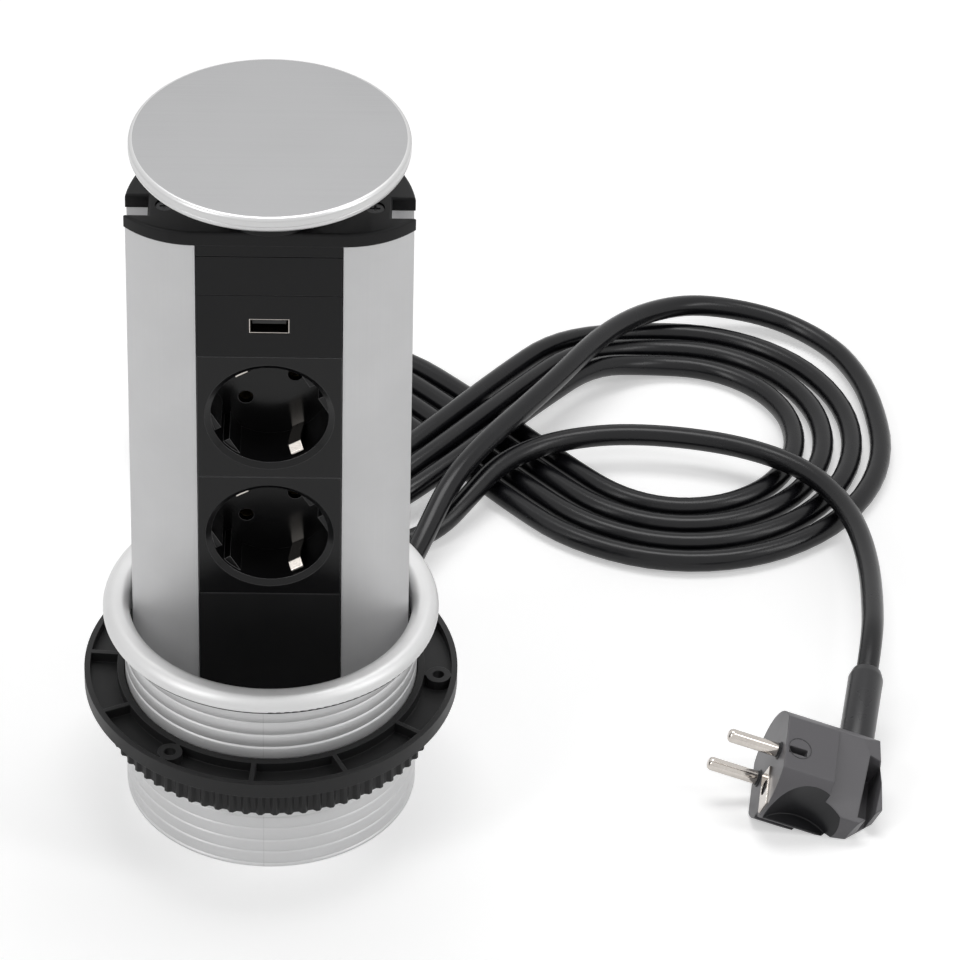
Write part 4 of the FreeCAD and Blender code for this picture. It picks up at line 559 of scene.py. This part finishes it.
def makeCoreFinish():
    # the three cores told apart by their place in the bundle
    material, tree, shader = newMaterial("coreInsulation")
    place = addNode(tree, "ShaderNodeTexCoord")
    apart = addNode(tree, "ShaderNodeSeparateXYZ")
    join(tree, place, "Object", apart, "Vector")
    right = addNode(tree, "ShaderNodeMath", {"operation": "GREATER_THAN"})
    right.inputs[1].default_value = coreLook["brownFrom"]
    left = addNode(tree, "ShaderNodeMath", {"operation": "LESS_THAN"})
    left.inputs[1].default_value = coreLook["blueTo"]
    join(tree, apart, "X", right, 0)
    join(tree, apart, "X", left, 0)
    base = useGroup(tree, grain, {"Size": coreLook["grainSize"],
                                  "Patches": coreLook["patches"]})
    earth = blendColours(tree, base, "Grain", *coreLook["earth"])
    brown = blendColours(tree, right, "Value", earth, coreLook["brown"])
    blue = blendColours(tree, left, "Value", brown, coreLook["blue"])
    tree.links.new(blue.outputs[2], shader.inputs["Base Color"])
    rough = spread(tree, base, "Patch", *coreLook["roughness"])
    join(tree, rough, "Result", shader, "Roughness")
    return material


materials["cordSheath"] = makeCordFinish()
materials["boardLaminate"] = makeBoardFinish()
materials["coreInsulation"] = makeCoreFinish()
cord.data.materials.append(materials["cordSheath"])


def only(piece):
    bpy.ops.object.select_all(action="DESELECT")
    piece.select_set(True)
    bpy.context.view_layer.objects.active = piece


def applyModifier(piece, kind, settings):
    modifier = piece.modifiers.new(kind.lower(), kind)
    for key, value in settings.items():
        setattr(modifier, key, value)
    only(piece)
    bpy.ops.object.modifier_apply(modifier=modifier.name)


def pieceName(node):
    # trim_ring becomes trimRing
    first, *rest = node.split("_")
    return first + "".join(word.capitalize() for word in rest)


smoothAngle = 28  # degrees; faces that meet at less are shaded as one
mergeGap = 0.000005


def shadeSmooth(piece, angle):
    only(piece)
    bpy.ops.object.shade_smooth_by_angle(angle=math.radians(angle))


def dress(piece, body):
    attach(piece, body)


def smoothPiece(node, body, slot, finish, angle=smoothAngle):
    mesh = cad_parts[node].data.copy()
    piece = bpy.data.objects.new(pieceName(node), mesh)
    bpy.context.scene.collection.objects.link(piece)
    mesh.materials.clear()
    mesh.materials.append(materials[finish])
    only(piece)
    bpy.ops.mesh.customdata_custom_splitnormals_clear()
    bpy.ops.object.mode_set(mode="EDIT")
    bpy.ops.mesh.select_all(action="SELECT")
    bpy.ops.mesh.remove_doubles(threshold=mergeGap)
    bpy.ops.object.mode_set(mode="OBJECT")
    shadeSmooth(piece, angle)
    dress(piece, body)
    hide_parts(node)


# pieces that keep the shape of their solid, with smooth turned and moulded faces:
# body, material slot, finish, and the smoothing angle where it differs
smoothSet = {
    "trim_ring": ("casing", "polished_metal", "ringAluminium"),
    "plug_body": ("casing", "plug_plastic", "plugPlastic", 13),
    "plug_pins": ("casing", "nickel", "nickelPlate"),
    "plug_earth": ("casing", "nickel", "nickelPlate"),
    "plug_strain_relief": ("casing", "plug_plastic", "reliefPlastic"),
    "tower_profile": ("tower", "silver_aluminium", "towerAluminium"),
    "top_cap": ("tower", "black_plastic", "blackPlastic"),
    "top_cap_screws": ("tower", "zinc_steel", "darkSteel"),
    "lid_neck": ("tower", "black_plastic", "blackPlastic"),
    "socket_insert_1": ("tower", "black_plastic", "socketPlastic"),
    "socket_insert_2": ("tower", "black_plastic", "socketPlastic"),
    "line_contacts_1": ("tower", "brass", "darkBrass"),
    "line_contacts_2": ("tower", "brass", "darkBrass"),
    "earth_clips_1": ("tower", "nickel", "nickelPlate"),
    "earth_clips_2": ("tower", "nickel", "nickelPlate"),
    "usb_shell": ("tower", "nickel", "nickelPlate"),
    "bottom_cap": ("tower", "black_plastic", "blackPlastic"),
    "bottom_cap_screws": ("tower", "zinc_steel", "zincSteel"),
    "cord_boot": ("tower", "rubber", "softRubber"),
    "cord_sheath": ("tower", "cord_sheath", "cordSheath"),
    "clamp_screws": ("tower", "zinc_steel", "zincSteel"),
    "core_leads": ("tower", "core_plastic", "coreInsulation"),
    "clamp_flange": ("clamp", "black_plastic", "flangePlastic"),
    "lock_nut": ("nut", "black_plastic", "flangePlastic"),
}
for node, look in smoothSet.items():
    smoothPiece(node, *look)
print("smooth pieces made", len(smoothSet))

# flat pieces whose solid already has the right faces keep it
plainSet = {
    "guide_rails": "guidePlastic", "brake_pads": "softRubber",
    "filler_plate": "blackPlastic", "blank_plate": "blackPlastic",
    "usb_plate": "blackPlastic", "usb_tongue": "guidePlastic", "usb_board": "boardLaminate",
    "socket_base_1": "socketPlastic", "socket_base_2": "socketPlastic",
    "bus_bars": "plainBrass", "earth_bar": "plainBrass", "cord_clamp": "guidePlastic",
}
for node, finish in plainSet.items():
    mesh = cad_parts[node].data
    if not mesh.materials:
        mesh.materials.append(materials[finish])
    for index in range(len(mesh.materials)):
        mesh.materials[index] = materials[finish]
print("finishes set on solids", len(plainSet))


# the lid: radius and height over the underside, in mm, from the middle of the top outwards
lidSet = {
    "sides": 180,
    "low": 0.2623,  # the underside, in metres
    "face": [(0.4, 6.0), (20.0, 6.0), (40.0, 6.0), (43.9, 6.0)],
    "rim": [(44.2, 5.99), (44.74, 5.89), (45.19, 5.59),
            (45.49, 5.14), (45.6, 4.6), (45.6, 2.95), (45.42, 2.85), (45.42, 2.7),
            (45.6, 2.6), (45.4, 1.61), (44.84, 0.76), (43.99, 0.2), (43.0, 0.0),
            (30.0, 0.0), (11.5, 0.0)],
    # the brushed face lies above this height and inside this radius, in metres
    "faceHeight": 0.0059,
    "faceRadius": 0.0441,
    "smooth": 35,
    "edgeWeight": 80,
}
profileGap = 0.000001


def turnProfile(name, profile, low, sides, closed=False):
    # a circle drawn out step by step, as on a lathe; a closed profile comes back to its start
    radius, height = profile[0]
    bpy.ops.object.select_all(action="DESELECT")
    bpy.ops.mesh.primitive_circle_add(vertices=sides, radius=radius / 1000,
                                      fill_type="NOTHING" if closed else "NGON",
                                      location=(0, 0, low + height / 1000))
    piece = bpy.context.object
    piece.name = name
    bpy.ops.object.transform_apply(location=True, rotation=True, scale=True)
    bpy.ops.object.mode_set(mode="EDIT")
    bpy.ops.mesh.select_all(action="SELECT")
    for nextRadius, nextHeight in profile[1:]:
        bpy.ops.mesh.extrude_edges_move(TRANSFORM_OT_translate={
            "value": (0, 0, (nextHeight - height) / 1000)})
        ratio = nextRadius / radius
        bpy.ops.transform.resize(value=(ratio, ratio, 1), center_override=(0, 0, 0))
        radius, height = nextRadius, nextHeight
    if not closed:
        bpy.ops.mesh.edge_face_add()
    bpy.ops.mesh.select_all(action="SELECT")
    bpy.ops.mesh.remove_doubles(threshold=profileGap)
    bpy.ops.mesh.normals_make_consistent(inside=False)
    bpy.ops.object.mode_set(mode="OBJECT")
    return piece


def makeLid():
    piece = turnProfile("lidDisc", lidSet["face"] + lidSet["rim"], lidSet["low"],
                        lidSet["sides"])
    piece.data.materials.append(materials["lidRim"])
    piece.data.materials.append(materials["lidFace"])
    for face in piece.data.polygons:
        away = math.hypot(face.center.x, face.center.y)
        above = face.center.z - lidSet["low"]
        if above > lidSet["faceHeight"] and away < lidSet["faceRadius"]:
            face.material_index = 1
    shadeSmooth(piece, lidSet["smooth"])
    applyModifier(piece, "WEIGHTED_NORMAL",
                  {"keep_sharp": True, "weight": lidSet["edgeWeight"]})
    dress(piece, "tower")
    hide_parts("lid")


makeLid()
print("lid turned")

# the sleeve: radii and heights in mm, the cord's notch in metres
sleeveSet = {
    "sides": 192,
    "bore": 48.2,
    "radius": 50.0,
    "top": 74.5,
    "firstGroove": 1.6,
    "grooveStep": 5.2,
    "grooves": 14,
    "grooveHalf": 0.5,
    "grooveFloor": 49.55,
    "grooveFlat": 0.08,
    "lipDrop": 0.04,
    "lipWidth": 0.1,
    "chamfer": 0.3,
    "boreRing": 40.0,
    "smooth": 30,
    "notchTurn": math.radians(-25),
    "notchAway": 0.0475,
    "notchDepth": 0.02,
    "notchHalf": 0.0085,
    "notchMiddle": 0.004,
    "notchArch": 0.009,
    "archSides": 64,
}


def cutWith(piece, tool):
    only(tool)
    bpy.ops.object.transform_apply(location=True, rotation=True, scale=True)
    applyModifier(piece, "BOOLEAN", {"operation": "DIFFERENCE", "object": tool,
                                     "solver": "EXACT"})
    bpy.data.objects.remove(tool)


def sleeveProfile():
    bore, radius, top = sleeveSet["bore"], sleeveSet["radius"], sleeveSet["top"]
    half, flat = sleeveSet["grooveHalf"], sleeveSet["grooveFlat"]
    chamfer, lip = sleeveSet["chamfer"], sleeveSet["lipWidth"]
    lipRadius = radius - sleeveSet["lipDrop"]
    profile = [(bore, chamfer), (bore + chamfer, 0), (radius - chamfer, 0), (radius, chamfer)]
    for index in range(sleeveSet["grooves"]):
        height = sleeveSet["firstGroove"] + index * sleeveSet["grooveStep"]
        profile += [(lipRadius, height - half), (sleeveSet["grooveFloor"], height - flat),
                    (sleeveSet["grooveFloor"], height + flat), (lipRadius, height + half),
                    (radius, height + half + lip)]
        if index < sleeveSet["grooves"] - 1:
            profile.append((radius, height + sleeveSet["grooveStep"] - half - lip))
    return profile + [(radius, top), (bore, top), (bore, sleeveSet["boreRing"]),
                      (bore, chamfer)]


def makeSleeve():
    piece = turnProfile("sleeveTube", sleeveProfile(), 0, sleeveSet["sides"], closed=True)
    turn = sleeveSet["notchTurn"]
    x = -sleeveSet["notchAway"] * math.sin(turn)
    y = sleeveSet["notchAway"] * math.cos(turn)
    half, arch = sleeveSet["notchHalf"], sleeveSet["notchArch"]
    middle, depth = sleeveSet["notchMiddle"], sleeveSet["notchDepth"]
    bpy.ops.mesh.primitive_cube_add(
        size=1, rotation=(0, 0, turn), location=(x, y, middle),
        scale=(2 * half, depth, 2 * (arch - middle)))
    cutWith(piece, bpy.context.object)
    bpy.ops.mesh.primitive_cylinder_add(
        vertices=sleeveSet["archSides"], radius=half, depth=depth,
        rotation=(math.pi / 2, 0, turn), location=(x, y, arch))
    cutWith(piece, bpy.context.object)
    piece.data.materials.clear()
    piece.data.materials.append(materials["turnedAluminium"])
    shadeSmooth(piece, sleeveSet["smooth"])
    dress(piece, "casing")
    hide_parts("sleeve")


makeSleeve()
print("sleeve turned")

# the rubber ring between trim ring and worktop: radii and heights in mm
sealSet = {
    "profile": [(51.8, 73.75), (56.2, 73.7), (56.45, 73.9), (56.45, 74.3), (56.2, 74.5),
                (51.8, 74.5), (51.8, 73.75)],
    "smooth": 50,
}


def makeSeal():
    piece = turnProfile("sealRing", sealSet["profile"], 0, sleeveSet["sides"], closed=True)
    piece.data.materials.append(materials["softRubber"])
    shadeSmooth(piece, sealSet["smooth"])
    dress(piece, "casing")
    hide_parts("seal")


makeSeal()
print("seal turned")

# the plug: painted shade in the hollow, dark rings at the feet of the pins, frame of the side
# slot.
# places in metres from the middle of its face, whose pins point along -X and stand apart
# along Z; the profiles of rings and frame in mm
plugSet = {
    "face": (0.172, -0.0136, 0.0174),
    "turn": (math.radians(-2), math.radians(20), math.radians(15.3)),
    "hollowAxis": (0.0138, -0.0305),
    "hollowRadius": 0.017,
    "hollowSlack": 0.0008,
    "hollowFacing": 0.9,
    "ledge": -0.005,
    "ledgeSlack": 0.0002,
    "ledgeMargin": 0.0003,
    "pinPlaces": (0.0095, -0.0095),
    "footProfile": [(2.41, -0.3), (3.2, -0.3), (3.2, 0.25), (3.0, 0.45), (2.65, 0.45),
                    (2.65, 1.1), (2.41, 1.1), (2.41, -0.3)],
    "footSides": 48,
    "frameProfile": [(2.9, 0.0), (3.15, 0.0), (3.15, 0.12), (3.05, 0.18), (2.95, 0.12),
                     (2.9, 0.0)],
    "frameSides": 64,
    "frameStretch": (1.35, 1.3, 1, 1),
    "framePlace": (0.0052, -0.0015, 0.01619),
    "smooth": 35,
}
yaw, pitch, roll = plugSet["turn"]
plugPlace = (Matrix.Translation(plugSet["face"]) @ Matrix.Rotation(yaw, 4, "Z")
             @ Matrix.Rotation(pitch, 4, "Y") @ Matrix.Rotation(roll, 4, "X"))


# painted shade: the faces of the hollow and its ledge get the dark plastic
def shadeHollow():
    plug = bpy.data.objects["plugBody"]
    plug.data.materials.append(materials["collarAndPaintedShadePlastic"])
    back = plugPlace.inverted()
    axisX, axisY = plugSet["hollowAxis"]
    radius, ledgeZ = plugSet["hollowRadius"], plugSet["ledge"]
    count = 0
    for face in plug.data.polygons:
        middle = back @ face.center
        inward = Vector((axisX - middle.x, axisY - middle.y, 0))
        away = inward.length
        facing = (back.to_3x3() @ face.normal).dot(inward.normalized())
        curved = (abs(away - radius) < plugSet["hollowSlack"]
                  and facing > plugSet["hollowFacing"])
        ledge = away < radius and abs(middle.z - ledgeZ) < plugSet["ledgeSlack"]
        if middle.z > ledgeZ - plugSet["ledgeMargin"] and (curved or ledge):
            face.material_index = 1
            count += 1
    return count


def placeOnPlug(piece, place, finish):
    piece.data.transform(plugPlace @ place)
    piece.data.materials.clear()
    piece.data.materials.append(materials[finish])
    shadeSmooth(piece, plugSet["smooth"])
    dress(piece, "casing")
    return piece


def dressPlug():
    pieces = [bpy.data.objects[name] for name in (
        "plugBody", "plugPins", "plugEarth", "plugStrainRelief")]
    toFace = Matrix.Rotation(-math.pi / 2, 4, "Y")
    for index, place in enumerate(plugSet["pinPlaces"]):
        ring = turnProfile(f"pinFoot{index + 1}", plugSet["footProfile"], 0,
                           plugSet["footSides"], closed=True)
        pieces.append(placeOnPlug(ring, Matrix.Translation((0, 0, place)) @ toFace,
                                  "collarAndPaintedShadePlastic"))
    slotFrame = turnProfile("slotFrame", plugSet["frameProfile"], 0,
                            plugSet["frameSides"], closed=True)
    place = (Matrix.Translation(plugSet["framePlace"])
             @ Matrix.Diagonal(plugSet["frameStretch"]))
    pieces.append(placeOnPlug(slotFrame, place, "plugPlastic"))
    return pieces


print("hollow faces", shadeHollow())
plugPieces = dressPlug()

# stage: lift is the glow that the background gets in the camera's and mirrors' eyes only
floorSet = {
    "half": 6.0,
    "colour": (0.88, 0.88, 0.88, 1),
    "roughness": 0.9,
    "specular": 0.1,
    "glow": (1, 1, 1, 1),
    "lift": 0.40,
}
lampSet = {
    # place, size and power
    "leftSoftbox": ((-1.1, -0.7, 1.2), (0.35, 1.0), 5.0),
    "rightSoftbox": ((1.2, -0.4, 1.1), (0.3, 1.0), 4.0),
    "overheadSoftbox": ((0.1, 0.5, 1.7), (1.2, 0.6), 10.0),
}
lampAim = (0.05, 0.05, 0.1)
worldSet = {"colour": (1, 1, 1, 1), "lighting": 0.3, "seen": 1.0}


def seenDirectly(tree):
    # 1 for rays from the camera, off a gloss or through glass, else 0
    path = addNode(tree, "ShaderNodeLightPath")
    seen = addNode(tree, "ShaderNodeMath", {"operation": "MAXIMUM"})
    glass = addNode(tree, "ShaderNodeMath", {"operation": "MAXIMUM"})
    join(tree, path, "Is Camera Ray", seen, 0)
    join(tree, path, "Is Glossy Ray", seen, 1)
    join(tree, seen, "Value", glass, 0)
    join(tree, path, "Is Transmission Ray", glass, 1)
    return glass


def makeFloor():
    bpy.ops.object.select_all(action="DESELECT")
    bpy.ops.mesh.primitive_plane_add(size=2 * floorSet["half"])
    floor = bpy.context.object
    floor.name = "floor"
    material, tree, shader = newMaterial("floor")
    shader.inputs["Base Color"].default_value = floorSet["colour"]
    shader.inputs["Roughness"].default_value = floorSet["roughness"]
    shader.inputs["Specular IOR Level"].default_value = floorSet["specular"]
    shader.inputs["Emission Color"].default_value = floorSet["glow"]
    level = addNode(tree, "ShaderNodeMath", {"operation": "MULTIPLY"})
    level.inputs[1].default_value = floorSet["lift"]
    join(tree, seenDirectly(tree), "Value", level, 0)
    join(tree, level, "Value", shader, "Emission Strength")
    floor.data.materials.append(material)


def makeLamp(name, place, size, power):
    bpy.ops.object.light_add(type="AREA", location=place)
    lamp = bpy.context.object
    lamp.name = name
    lamp.data.shape = "RECTANGLE"
    lamp.data.size, lamp.data.size_y = size
    lamp.data.energy = power
    aim = Vector(lampAim) - Vector(place)
    lamp.rotation_mode = "QUATERNION"
    lamp.rotation_quaternion = aim.to_track_quat("-Z", "Y")


def makeWorld():
    world = bpy.data.worlds.new("studio")
    bpy.context.scene.world = world
    world.use_nodes = True
    tree = world.node_tree
    ground = tree.nodes["Background"]
    ground.inputs["Color"].default_value = worldSet["colour"]
    level = addNode(tree, "ShaderNodeMapRange", None,
                    {"To Min": worldSet["lighting"], "To Max": worldSet["seen"]})
    join(tree, seenDirectly(tree), "Value", level, "Value")
    join(tree, level, "Result", ground, "Strength")


makeFloor()
for name, lamp in lampSet.items():
    makeLamp(name, *lamp)
makeWorld()
bpy.context.scene.view_settings.view_transform = "Standard"
print("floor and lights made")
